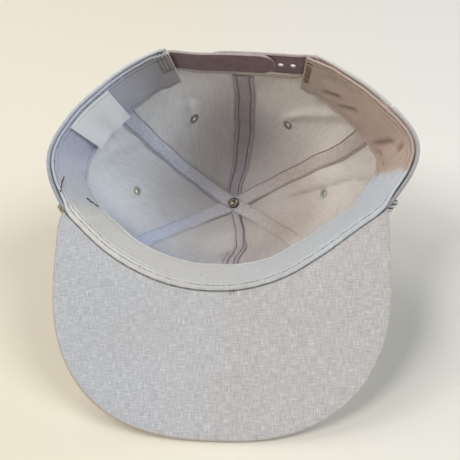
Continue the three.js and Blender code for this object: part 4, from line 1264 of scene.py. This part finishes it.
TACK, WIDE_TACK = (1.0, 1.3, 0.5, 0.1), (1.1, 1.4, 0.6, 0.1)  # pitch, length, width, wobble
SLIT = [(187.2, 8.4), (190.5, 4.5), (194.2, 1.2)]  # places on the band: azimuth, distance down
REPAIRS = [
    [(195.3, 20.6), (196.6, 22.6)], [(196.9, 21.8), (197.6, 24.4)], [(198.2, 24.6), (199.5, 26.8)],
]
KNOT = [(265.0, 11.0), (265.2, 11.1)]
LOOSE_ENDS = [  # on the brim, in the cap's own frame
    ((8.0, -0.9, 1.75), (8.4, -3.2, 1.7)), ((9.6, -0.7, 1.75), (10.2, -2.4, 1.7)),
]
left_tacks, right_tacks, repair_rows = [], [], []
for k in range(4):
    zigzag = [(114.4 + 1.9 * k + 0.35 * (-1) ** n, 0.8 + 0.95 * n) for n in range(16)]
    left_tacks.append(stitch_row(*band_line(zigzag), *TACK, seed=k))
for down in (3.0, 14.5):
    zigzag = [(113.8 + 0.42 * n, down + 0.9 * (-1) ** n) for n in range(18)]
    left_tacks.append(stitch_row(*band_line(zigzag), *TACK, seed=20))
for k in range(2):
    zigzag = [(402.6 - 1.3 * k + 0.6 * (-1) ** n, 2.0 + 1.1 * n) for n in range(19)]
    right_tacks.append(stitch_row(*band_line(zigzag), *WIDE_TACK, seed=9 + k))
for line in REPAIRS:
    repair_rows.append(stitch_row(*band_line(line, 6), 1.2, 2.0, 1.3, 0.3, seed=5))
repair_rows.append(stitch_row(*band_line(KNOT), 0.2, 0.5, 0.5))
# painted shadow: dark thread laid along the slit at the left, which is only shade
slit_shadow_and_loose_rows = [stitch_row(*band_line(SLIT, 10), 1.2, 1.9, 1.1, 0.05)]
for ends in np.array(LOOSE_ENDS):
    slit_shadow_and_loose_rows.append(stitch_row(ends, np.array([[0, 0, 1.0]] * 2), 1.1, 1.6, 0.3, 0.2))
sew("slit_shadow_and_loose_ends", slit_shadow_and_loose_rows)
sew("left_bar_tack", left_tacks)
sew("right_bar_tack", right_tacks)
sew("repair_stitches", repair_rows)

# %% [markdown]
# ## Sewn eyelets
# Thread runs round and round each hole, so an eyelet is a ring of radial stitches on both faces of the
# cloth, lying on a low round cushion of thread that closes the gaps between them.

# %% Eyelets
EYELET_RADIUS, EYELET_STITCHES = 3.7, 30
CUSHION = [
    (HOLE_RADIUS, -1.7), (2.5, -2.0), (3.5, -1.7), (3.5, -1.5), (1.8, -1.45), (1.8, 0.0), (3.5, 0.05),
    (3.5, 0.3), (2.5, 0.6), (HOLE_RADIUS, 0.25), (HOLE_RADIUS, -1.7),
]


def eyelet(name, azimuth):
    """A cushion with a ring of stitches on both faces of the cloth, as one mesh."""
    place = standing(azimuth, EYELET_FROM_TOP)
    ring = turned(name, CUSHION, place, steps=40)
    centres, frames = [], []
    middle = (HOLE_RADIUS + EYELET_RADIUS) / 2
    for height in (0.45, -1.85):
        for k in range(EYELET_STITCHES):
            turn = 2 * math.pi * (k + 0.5 * (height < 0)) / EYELET_STITCHES
            out = Vector((math.cos(turn), math.sin(turn), 0))
            reach = (EYELET_RADIUS - HOLE_RADIUS) / 2 + 0.12 * (-1) ** k
            local = [out * reach, Vector((-out.y, out.x, 0)) * 0.24, Vector((0, 0, 0.3))]
            centre = place @ ((out * middle + Vector((0, 0, height))) / 1000)
            centres.append(centre)
            frames.append([place.to_3x3() @ axis / 1000 for axis in local])
    stitches = thread_piece(name + "_thread", np.array(centres), np.array(frames))
    bm = bmesh.new()
    bm.from_mesh(ring.data)
    bm.from_mesh(stitches.data)
    bm.to_mesh(ring.data)
    bm.free()
    ring.data.shade_smooth()
    bpy.data.objects.remove(stitches)
    return ring


for name, (azimuth, panel) in EYELETS.items():
    pieces[name] = finish(eyelet(name, azimuth), "eyelet_thread", name)

# %% [markdown]
# ## How a weave is drawn
# Materials are node trees, and an effect that several share goes into a node group. A Wire stands for
# one output of a node, so a formula is written with + - and *, and reads as it would for numbers.
# fade() rises smoothly from 0 to 1 between two values, and fade_out() falls from 1 to 0.

# %% Node helpers
class Wire:
    """One output of a node. Adding, subtracting or multiplying it makes a Math node."""

    def __init__(self, socket):
        self.socket = socket

    def __add__(self, other):
        return calc("ADD", self, other)

    def __mul__(self, other):
        return calc("MULTIPLY", self, other)

    def __sub__(self, other):
        return calc("SUBTRACT", self, other)

    def __rsub__(self, other):
        return calc("SUBTRACT", other, self)


def node(tree, kind, **settings):
    made = tree.nodes.new(kind)
    for key, value in settings.items():
        setattr(made, key, value)
    return made


def feed(socket, value):
    if isinstance(value, Wire):
        socket.id_data.links.new(value.socket, socket)
    else:
        socket.default_value = value


def fed(kind, keys, values, **settings):
    """A node whose named inputs are fed with the values, in the tree that their first wire is in."""
    tree = next(value.socket.id_data for value in values if isinstance(value, Wire))
    made = node(tree, kind, **settings)
    for key, value in zip(keys, values):
        feed(made.inputs[key], value)
    return made


def calc(operation, *values):
    return Wire(fed("ShaderNodeMath", range(3), values, operation=operation).outputs[0])


def mix(share, a, b, mode="MIX"):
    made = fed("ShaderNodeMix", (0, 6, 7), (share, a, b), data_type="RGBA", blend_type=mode)
    return Wire(made.outputs[2])


def fade(value, low, high, kind="SMOOTHSTEP"):
    made = fed("ShaderNodeMapRange", range(3), (value, low, high), interpolation_type=kind)
    return Wire(made.outputs[0])


def fade_out(value, low, high):
    return 1.0 - fade(value, low, high)


def vector(x, y, z=0.0):
    return Wire(fed("ShaderNodeCombineXYZ", range(3), (x, y, z)).outputs[0])


def separate(at):
    return [Wire(part) for part in fed("ShaderNodeSeparateXYZ", [0], [at]).outputs]


def noise(at, scale, detail=2.0, roughness=0.5):
    keys = ("Vector", "Scale", "Detail", "Roughness")
    made = fed("ShaderNodeTexNoise", keys, (at, scale, detail, roughness), noise_dimensions="3D")
    return Wire(made.outputs["Fac"])


def new_group(name, inputs, outputs):
    tree = bpy.data.node_groups.new(name, "ShaderNodeTree")
    for side, sockets in (("INPUT", inputs), ("OUTPUT", outputs)):
        for key, kind in sockets.items():
            tree.interface.new_socket(name=key, in_out=side, socket_type="NodeSocket" + kind)
    entry = node(tree, "NodeGroupInput")
    return tree, [Wire(entry.outputs[key]) for key in inputs], node(tree, "NodeGroupOutput").inputs


# %% [markdown]
# Plain weave is a checkerboard: at each crossing either the warp or the weft is on top. An image of
# cloth would tile and blur, so each thread is worked out as half a sine in height. Slubs are thick
# stretches of thread: their noise is eight times longer along a thread than across it.

# %% Weave group
ALONG, ACROSS = 0.1, 0.8  # how fast the noise changes along a thread and across it
SLUB_FROM, SLUB_TO = 0.62, 0.74
weave, (cloth_place, threads, slub_share), out = new_group(
    "Plain weave", {"Cloth": "Vector", "Threads": "Float", "Slub": "Float"},
    {"Height": "Float", "Tone": "Float"},
)
scaled = fed("ShaderNodeVectorMath", (0, "Scale"), (cloth_place, threads), operation="SCALE")
u, v, _ = separate(Wire(scaled.outputs[0]))
over = calc("FLOORED_MODULO", calc("FLOOR", u) + calc("FLOOR", v), 2.0)
warp, weft = (calc("ABSOLUTE", calc("SINE", thread * math.pi)) for thread in (u, v))
ridge = warp * over + weft * (1.0 - over)
warp_run = noise(vector(u * ACROSS, v * ALONG), 1.0, 3.0)
weft_run = noise(vector(u * ALONG, v * ACROSS, 7.0), 1.0, 3.0)
slub = calc("MAXIMUM", *(fade(run, SLUB_FROM, SLUB_TO) for run in (warp_run, weft_run))) * slub_share
streak = warp_run * 0.5 + weft_run * 0.5
feed(out["Tone"], streak * 1.8 - 0.5 + slub * 0.3 + (ridge * 0.3 - 0.2))
feed(out["Height"], slub * 0.5 + ridge * 0.5)
print("weave group has", len(weave.nodes), "nodes")

# %% [markdown]
# A handled cap is never one colour. This group gives soft blotches of dirt from two sizes of noise in the
# object's own coordinates, and a smooth mask from the left of the cap to its right for painted light.

# %% Handling group
handling_and_side_light, (place,), out = new_group(
    "Handled cloth and side light", {"Place": "Vector"}, {"Blotch": "Float", "Rightward": "Float"}
)
large, small = noise(place, 22.0), noise(place, 110.0, 3.0, 0.6)
feed(out["Blotch"], fade(large * 0.65 + small * 0.35, 0.35, 0.65))
feed(out["Rightward"], fade(separate(place)[0] + (large * 0.05 - 0.025), -0.085, 0.05))
print("handling group has", len(handling_and_side_light.nodes), "nodes")

# %% [markdown]
# ## Cloth materials
# The recipe for every cloth is the same: a dark and a light thread colour mixed by the weave's tone,
# tinted as painted light, cool towards the left of the cap and warm towards its right, then dulled by
# blotches. The weave's height feeds a Bump node, and a little sheen on the shader gives the soft edge
# of brushed cotton.
# stained() multiplies by a tone, as dirt and shade do, and painted() covers with one.

# %% Cloth recipe
def start_material(name, roughness, sheen=0.0, metallic=0.0):
    """A new material, its node tree and the inputs of its shader."""
    material = bpy.data.materials.new(name)
    material.use_nodes = True
    shader = material.node_tree.nodes["Principled BSDF"].inputs
    for key, value in (("Roughness", roughness), ("Metallic", metallic), ("Sheen Weight", sheen),
                       ("Sheen Roughness", 0.5)):
        shader[key].default_value = value
    return material, material.node_tree, shader


def colour(*screen):
    """A colour as seen on screen, from 0 to 255, made linear for the shader."""
    return tuple(((c / 255 + 0.055) / 1.055) ** 2.4 if c > 10 else c / 3294 for c in screen) + (1.0,)


def painted(base, share, *tone):
    return mix(share, base, colour(*tone))


def stained(base, share, *tone):
    return mix(share, base, colour(*tone), "MULTIPLY")


def mark(tree, name):
    return Wire(node(tree, "ShaderNodeAttribute", attribute_name=name).outputs["Fac"])


def place_of(tree):
    return Wire(node(tree, "ShaderNodeTexCoord").outputs["Object"])


def cloth_uv(tree):
    return Wire(node(tree, "ShaderNodeUVMap", uv_map="cloth").outputs[0])


def placed(tree, group, **values):
    made = node(tree, "ShaderNodeGroup", node_tree=group)
    for key, value in values.items():
        feed(made.inputs[key], value)
    return [Wire(output) for output in made.outputs]


def bumped(shader, height, depth_mm):
    bump = fed("ShaderNodeBump", ("Height", "Strength", "Distance"), (height, 1.0, depth_mm / 1000))
    feed(shader["Normal"], Wire(bump.outputs[0]))


def cloth(name, dark, light, threads, slub, depth_mm, cool=(236, 245, 255), warm=(255, 243, 228),
          tint=1.0, dull=0.08):
    """Threads are per metre and the depth of the weave is in mm."""
    material, tree, shader = start_material(name, 0.92, sheen=0.1)
    height, tone = placed(tree, weave, Cloth=cloth_uv(tree), Threads=threads, Slub=slub)
    blotch, rightward = placed(tree, handling_and_side_light, Place=place_of(tree))
    base = mix(fade(tone, 0.0, 1.0, "LINEAR"), colour(*dark), colour(*light))
    # painted light: a cool tint on the cap's left and a warm one on its right
    base = mix(tint, base, mix(rightward, colour(*cool), colour(*warm)), "MULTIPLY")
    base = stained(base, blotch * dull, 150, 140, 130)
    feed(shader["Base Color"], base)
    bumped(shader, height, depth_mm)
    return material, tree, shader, base


def dress(material, *names):
    for name in names:
        materials = pieces[name].data.materials
        materials.clear()
        materials.append(material)
    print(material.name, "on", len(names), "pieces")


print("mid grey on screen is", round(colour(128)[0], 3), "for the shader")

# %% [markdown]
# The crown's cotton is brushed: long faint lines lean across each panel, so noise is drawn out along
# the cloth's own UV. The front panels and the deep top of the hollow are darkened as painted shade.
# Grime gathers at the hem, and the bottoms of the sharp creases get the same tone as painted shade.
# The outside has never touched a head, so it stays cleaner.

# %% Crown cloth
BRUSH_ACROSS, BRUSH_ALONG, BRUSH_LEAN = 650.0, 80.0, 1.6
crown_cloth, tree, shader, base = cloth(
    "brushed crown cotton", (242, 243, 246), (255, 255, 255), 2400, 0.4, 0.08,
    cool=(246, 251, 255), warm=(253, 243, 230),
)
base = painted(base, mark(tree, "outside") * 0.6, 250, 253, 255)
# painted shade: darker towards the front of the cap
base = stained(base, fade_out(separate(place_of(tree))[1], -0.02, 0.05), 184, 185, 194)
sideways, from_top, _ = separate(cloth_uv(tree))
along = from_top * BRUSH_ALONG
lines = noise(vector(along * BRUSH_LEAN + sideways * BRUSH_ACROSS, along), 1.0, 3.0, 0.6)
base = stained(base, fade(lines, 0.38, 0.62) * 0.3, 226, 223, 221)
# painted shade: darker near the top, deep in the hollow
base = stained(base, fade_out(from_top, 0.05, 0.1), 234, 231, 231)
hem_grime = fade_out(mark(tree, "to_hem"), 2.0, 5.0) * 0.4
# dirt at the hem, and painted shade in the bottoms of the sharp creases
base = stained(base, calc("MAXIMUM", hem_grime, mark(tree, "fold") * 0.5), 204, 200, 196)
feed(shader["Base Color"], base)
dress(crown_cloth, "button", *PANELS)

# %% [markdown]
# The tapes are coarser and heathered, which fine noise over the weave gives. The diagonal ones are
# bluest at the front left and greyer on the right, as painted light. The middle tape is a mauve one,
# painted paler where it is folded to a tube, so the part past the kink is left in painted shade. All
# have painted shade along their sunken stitch rows, which the to_row attribute finds.

# %% Tape and binding cloth
tape_cloth, tree, shader, base = cloth(
    "heathered tape", (230, 229, 240), (254, 254, 255), 1500, 0.9, 0.15, dull=0.12
)
rightward, backward, _ = separate(place_of(tree))
heather = fade(noise(place_of(tree), 520.0, 2.0, 0.7), 0.35, 0.65)
blue = fade_out(backward, 0.02, 0.09) * fade_out(rightward, -0.07, -0.015) * (heather * 0.4 + 0.45)
# painted shade along the sunken stitch rows
groove_shade = fade_out(mark(tree, "to_row"), 0.1, 0.5) * fade(mark(tree, "along"), 6.0, -6.0)
# painted light: greyer and warmer towards the right, like the cloth's side tint
base = stained(base, fade(rightward, -0.01, 0.03), 240, 236, 231)
base = stained(base, heather * 0.35, 206, 206, 212)
base = painted(base, blue, 180, 194, 222)
feed(shader["Base Color"], painted(base, groove_shade * 0.5, 140, 134, 144))
dress(tape_cloth, "seam_tape_left_diagonal", "seam_tape_right_diagonal")

middle_tape, tree, shader, base = cloth(
    "mauve middle tape", (184, 178, 187), (228, 222, 229), 1500, 0.9, 0.15, dull=0.15
)
along = mark(tree, "along")
# painted light: paler where the tape is folded to a tube, so the part past the kink stays in painted shade
tube = fade(along, -4.0, 6.0) * fade_out(along, KINK - 2.0, KINK + 6.0)
base = painted(base, tube * 0.5, 222, 218, 216)
# painted shade along the sunken stitch rows
groove_shade = fade_out(mark(tree, "to_row"), 0.1, 0.6)
feed(shader["Base Color"], painted(base, groove_shade * 0.7, 104, 96, 106))
dress(middle_tape, "seam_tape_front_back")
dress(cloth("binding", (190, 185, 183), (224, 219, 214), 1800, 0.5, 0.12)[0], "binding")

# %% [markdown]
# The brim's cotton has the strongest slubs. Its wrapped edge has picked up a beige tone, most of all
# on the left, so the colour changes with the from_edge attribute and with the place across the cap.

# %% Brim cloth
brim_cloth, tree, shader, base = cloth(
    "slubbed brim cotton", (171, 172, 175), (243, 243, 244), 2100, 0.8, 0.12,
    cool=(250, 252, 255), warm=(255, 250, 246), dull=0.06,
)
# painted shadow: a dark line along the joint, under the sweatband's lip
base = painted(base, fade_out(mark(tree, "from_joint"), 0.1, 0.8) * 0.6, 112, 106, 104)
leftness = fade_out(separate(place_of(tree))[0], -0.09, 0.02)
beige = fade_out(mark(tree, "from_edge"), 0.6, 2.2) * (leftness * 0.65 + 0.15)
feed(shader["Base Color"], painted(base, beige, 196, 170, 140))
dress(brim_cloth, "brim")

# %% [markdown]
# The sweatband's tones change round it: grey and blue at the left rear, which are painted shade and
# cool light, nearly white at the front, and a brown stain from the right ear to the strap with a ragged
# border. A colour ramp over the azimuth gives the tones, and noise moves the border to and fro along
# the band. Painted shade lies in the creases and along the stitch rows, and the cut left end is rubbed
# pale.

# %% Sweatband cloth
# the grey and blue at the left rear are painted shade and cool light; the brown from the right ear on is a
# stain
BAND_STAIN_AND_SHADE_TONES = [  # azimuth, tone on screen
    (113, (190, 187, 189)), (126, (190, 191, 202)), (150, (203, 207, 226)), (172, (206, 214, 238)),
    (190, (226, 230, 238)), (205, (248, 245, 239)), (270, (219, 218, 216)), (335, (221, 226, 231)),
    (352.5, (234, 239, 248)), (354.5, (218, 195, 180)), (375, (214, 190, 175)), (404, (210, 190, 178)),
]
RAGGED = 14.0  # how many degrees the border moves
band_cloth, tree, shader, base = cloth(
    "worn sweatband with painted shade", (218, 218, 218), (253, 253, 253), 2600, 0.3, 0.08, tint=0.0
)
around = mark(tree, "around")
ragged = noise(place_of(tree), 60.0, 3.0, 0.6) * RAGGED - RAGGED / 2
ramp = fed("ShaderNodeValToRGB", [0],
           [calc("DIVIDE", around + ragged - BAND_FROM, BAND_TO - BAND_FROM)])
stops = ramp.color_ramp.elements
while len(stops) < len(BAND_STAIN_AND_SHADE_TONES):
    stops.new(0.5)
for stop, (azimuth, tone) in zip(stops, BAND_STAIN_AND_SHADE_TONES):
    stop.position = (azimuth - BAND_FROM) / (BAND_TO - BAND_FROM)
    stop.color = colour(*tone)
base = mix(1.0, base, Wire(ramp.outputs[0]), "MULTIPLY")
# painted shade in the bottoms of the creases
base = stained(base, mark(tree, "fold") * 0.7, 196, 184, 176)
base = painted(base, fade_out(around, BAND_FROM + 0.4, BAND_FROM + 1.1) * 0.6, 240, 240, 242)
# painted shade along the stitch grooves, broken into dashes
dashes = fade(noise(place_of(tree), 420.0, 1.0), 0.25, 0.65)
base = stained(base, fade_out(mark(tree, "to_row"), 0.08, 0.42) * dashes, 158, 150, 146)
feed(shader["Base Color"], base)
dress(band_cloth, "sweatband")

# %% [markdown]
# The label is the whitest cloth, with a very fine weave. Sewing thread needs no weave at its size: fine
# noise for the fibres and coarser noise for faded stretches are enough, so one function makes them all.

# %% Label and thread
label_cloth, tree, shader = start_material("white woven label", 0.6, 0.1)
height, tone = placed(tree, weave, Cloth=cloth_uv(tree), Threads=4200, Slub=0.2)
worn = placed(tree, handling_and_side_light, Place=place_of(tree))[0]
white = mix(fade(tone, 0.0, 1.0, "LINEAR"), colour(238, 245, 254), colour(248, 252, 255))
feed(shader["Base Color"], painted(white, worn * 0.15, 214, 208, 200))
bumped(shader, height, 0.05)
dress(label_cloth, "label")


def thread(name, dark, light, *names):
    material, tree, shader = start_material(name, 0.7, 0.2)
    at = place_of(tree)
    fibres = noise(at, 1800.0)
    tone = fade(fibres * 0.6 + noise(at, 60.0) * 0.4, 0.35, 0.65)
    feed(shader["Base Color"], mix(tone, colour(*dark), colour(*light)))
    bumped(shader, fibres, 0.06)
    dress(material, *names)


thread("grey tape thread", (112, 107, 118), (146, 141, 152), "tape_stitches")
thread("faded tape thread", (182, 181, 190), (208, 206, 214), "pale_tape_stitches")
thread("pale seam thread", (176, 176, 180), (220, 219, 220), "seam_stitches", "label_stitches")
thread("tan tack thread", (118, 112, 104), (176, 170, 160), "left_bar_tack")
thread("band thread", (150, 146, 142), (206, 203, 198), "band_stitches")
# dark thread for the stained right tack, and for the painted shadow of the slit
thread("stained thread and slit shadow", (72, 50, 38), (120, 92, 72), "right_bar_tack", "slit_shadow_and_loose_ends")
thread("teal thread", (52, 74, 84), (90, 112, 120), "repair_stitches")
thread("dark eyelet thread", (112, 112, 108), (166, 166, 160), "eyelet_back_left", "eyelet_back_right")
thread("green eyelet thread", (156, 163, 152), (206, 211, 198), "eyelet_side_left", "eyelet_side_right")

# %% [markdown]
# The cord is darkened where its strands meet, as dirt and painted shade: brown at its left end and dark
# grey at its right.
# The groove attribute is 1 in the valley between two strands, and a fine wave across the strands
# stands for the yarn they are spun from.

# %% Cord material
YARN_ALONG, YARN_AROUND = 9000.0, 6000.0
cord_material, tree, shader = start_material("three-strand cord", 0.85, 0.2)
forward, round_it, _ = separate(cloth_uv(tree))
yarn = calc("SINE", forward * YARN_ALONG + round_it * YARN_AROUND) * 0.5 + 0.5
rightward = mark(tree, "along")
dirt_and_shade_tone = mix(fade(rightward, 0.3, 0.7), colour(92, 58, 30), colour(62, 62, 66))
pale = mix(fade(rightward, 0.2, 0.8), colour(226, 208, 180), colour(232, 232, 232))
pale = painted(pale, yarn * 0.25, 170, 160, 148)
# dirt and painted shade in the valleys between the strands
groove_shade_and_dirt = fade(mark(tree, "groove") + noise(place_of(tree), 90.0) * 0.4, 0.45, 0.95)
feed(shader["Base Color"], mix(groove_shade_and_dirt, pale, dirt_and_shade_tone))
bumped(shader, yarn, 0.15)
dress(cord_material, "rope")

# %% [markdown]
# ## Plastic and metal
# The strap is a mauve-brown plastic, with a pale pink painted highlight along the edges of its rim.
# The rivet is brass under worn dark plating, with grime in its ring.

# %% Strap and rivet materials
strap_plastic, tree, shader = start_material("moulded strap", 0.42)
scuffs = noise(place_of(tree), 240.0, 3.0, 0.6)
body = mix(fade(scuffs, 0.35, 0.7), colour(121, 98, 101), colour(139, 114, 117))
# painted highlight along the edges of the rim
rim_highlight = fade_out(mark(tree, "to_edge"), 0.2, 1.1) * (scuffs * 0.6 + 0.5)
feed(shader["Base Color"], painted(body, rim_highlight, 206, 192, 190))
feed(shader["Roughness"], scuffs * 0.3 + 0.3)
bumped(shader, scuffs, 0.03)
dress(strap_plastic, "strap_outer", "strap_inner")

RING_RADIUS = 2.1  # of the groove that is pressed into the rivet, in mm
rivet_metal, tree, shader = start_material("worn rivet", 0.35, 0.0, 1.0)
tarnish = noise(place_of(tree), 900.0, 3.0, 0.6)
plating = mix(fade(tarnish, 0.35, 0.7), colour(138, 130, 110), colour(226, 218, 196))
from_axis = fed("ShaderNodeVectorMath", [0], [cloth_uv(tree)], operation="LENGTH").outputs["Value"]
radius_mm = Wire(from_axis) * 1000.0
in_ring = fade_out(calc("ABSOLUTE", radius_mm - RING_RADIUS), 0.15, 0.5) * 0.4
grime = calc("MAXIMUM", in_ring, fade(radius_mm, 2.9, 3.4))
feed(shader["Base Color"], painted(plating, grime * 0.9, 52, 50, 44))
feed(shader["Roughness"], tarnish * 0.4 + 0.15)
bumped(shader, tarnish, 0.04)
dress(rivet_metal, "rivet")
print(len(bpy.data.materials), "materials")

# %% [markdown]
# ## Table, light and finish
# A pale cream table carries the cap. Two soft lamps on the left stand for a window and throw the shadow
# to the right, and three on the other sides stand for the room's walls and open up the hollow. The
# world is nearly dark, so that only the lamps shape the light.

# %% Table and lights
bm = bmesh.new()
bmesh.ops.create_grid(bm, x_segments=1, y_segments=1, size=6)
table = new_object("table", as_mesh(bm, "table"))
table_paint, tree, shader = start_material("cream paper", 0.8)
rightward, backward, _ = separate(place_of(tree))
# painted light: the paper is warmer on the left where the warm lamps fall, and more neutral on the right
# in the cool shade
across = fade(rightward + noise(place_of(tree), 3.0) * 0.1, -0.2, 0.25)
paper = mix(across, colour(240, 232, 214), colour(237, 234, 226))
# yellower towards the front left
yellower_front_left = fade_out(backward, -0.2, 0.1) * (1.0 - across)
feed(shader["Base Color"], painted(paper, yellower_front_left, 232, 222, 197))
table.data.materials.append(table_paint)

LAMPS = [  # name, place, size, watts, tint
    ("window", (-2.5, 0.6, 3.1), 1.6, 40, (1.0, 0.975, 0.95)),
    ("window_in_front", (-2.1, -1.45, 3.1), 1.6, 68, (1.0, 0.975, 0.95)),
    ("room_light_right", (3.0, -0.5, 2.8), 2.2, 84, (0.91, 0.96, 1.0)),
    ("room_light_front", (2.2, -2.2, 2.6), 2.2, 15, (0.95, 0.98, 1.0)),
    ("room_light_back", (-1.6, 2.4, 3.0), 2.0, 34, (1.0, 0.98, 0.95)),
]
LAMP_AIM = (0, 0, 0.05)
for name, place, size, watts, tint in LAMPS:
    light = bpy.data.lights.new(name, "AREA")
    light.shape, light.size, light.energy, light.color = "DISK", size, watts, tint
    holder = new_object(name, light)
    holder.location = place
    holder.rotation_mode = "QUATERNION"
    holder.rotation_quaternion = (Vector(LAMP_AIM) - Vector(place)).to_track_quat("-Z", "Y")
world = bpy.data.worlds.new("soft room")
world.use_nodes = True
glow = world.node_tree.nodes["Background"].inputs
glow["Color"].default_value, glow["Strength"].default_value = (0.95, 0.97, 1.0, 1), 0.03
scene.world = world
scene.view_settings.view_transform = "Standard"
print(len(LAMPS), "soft lamps and a dim world")
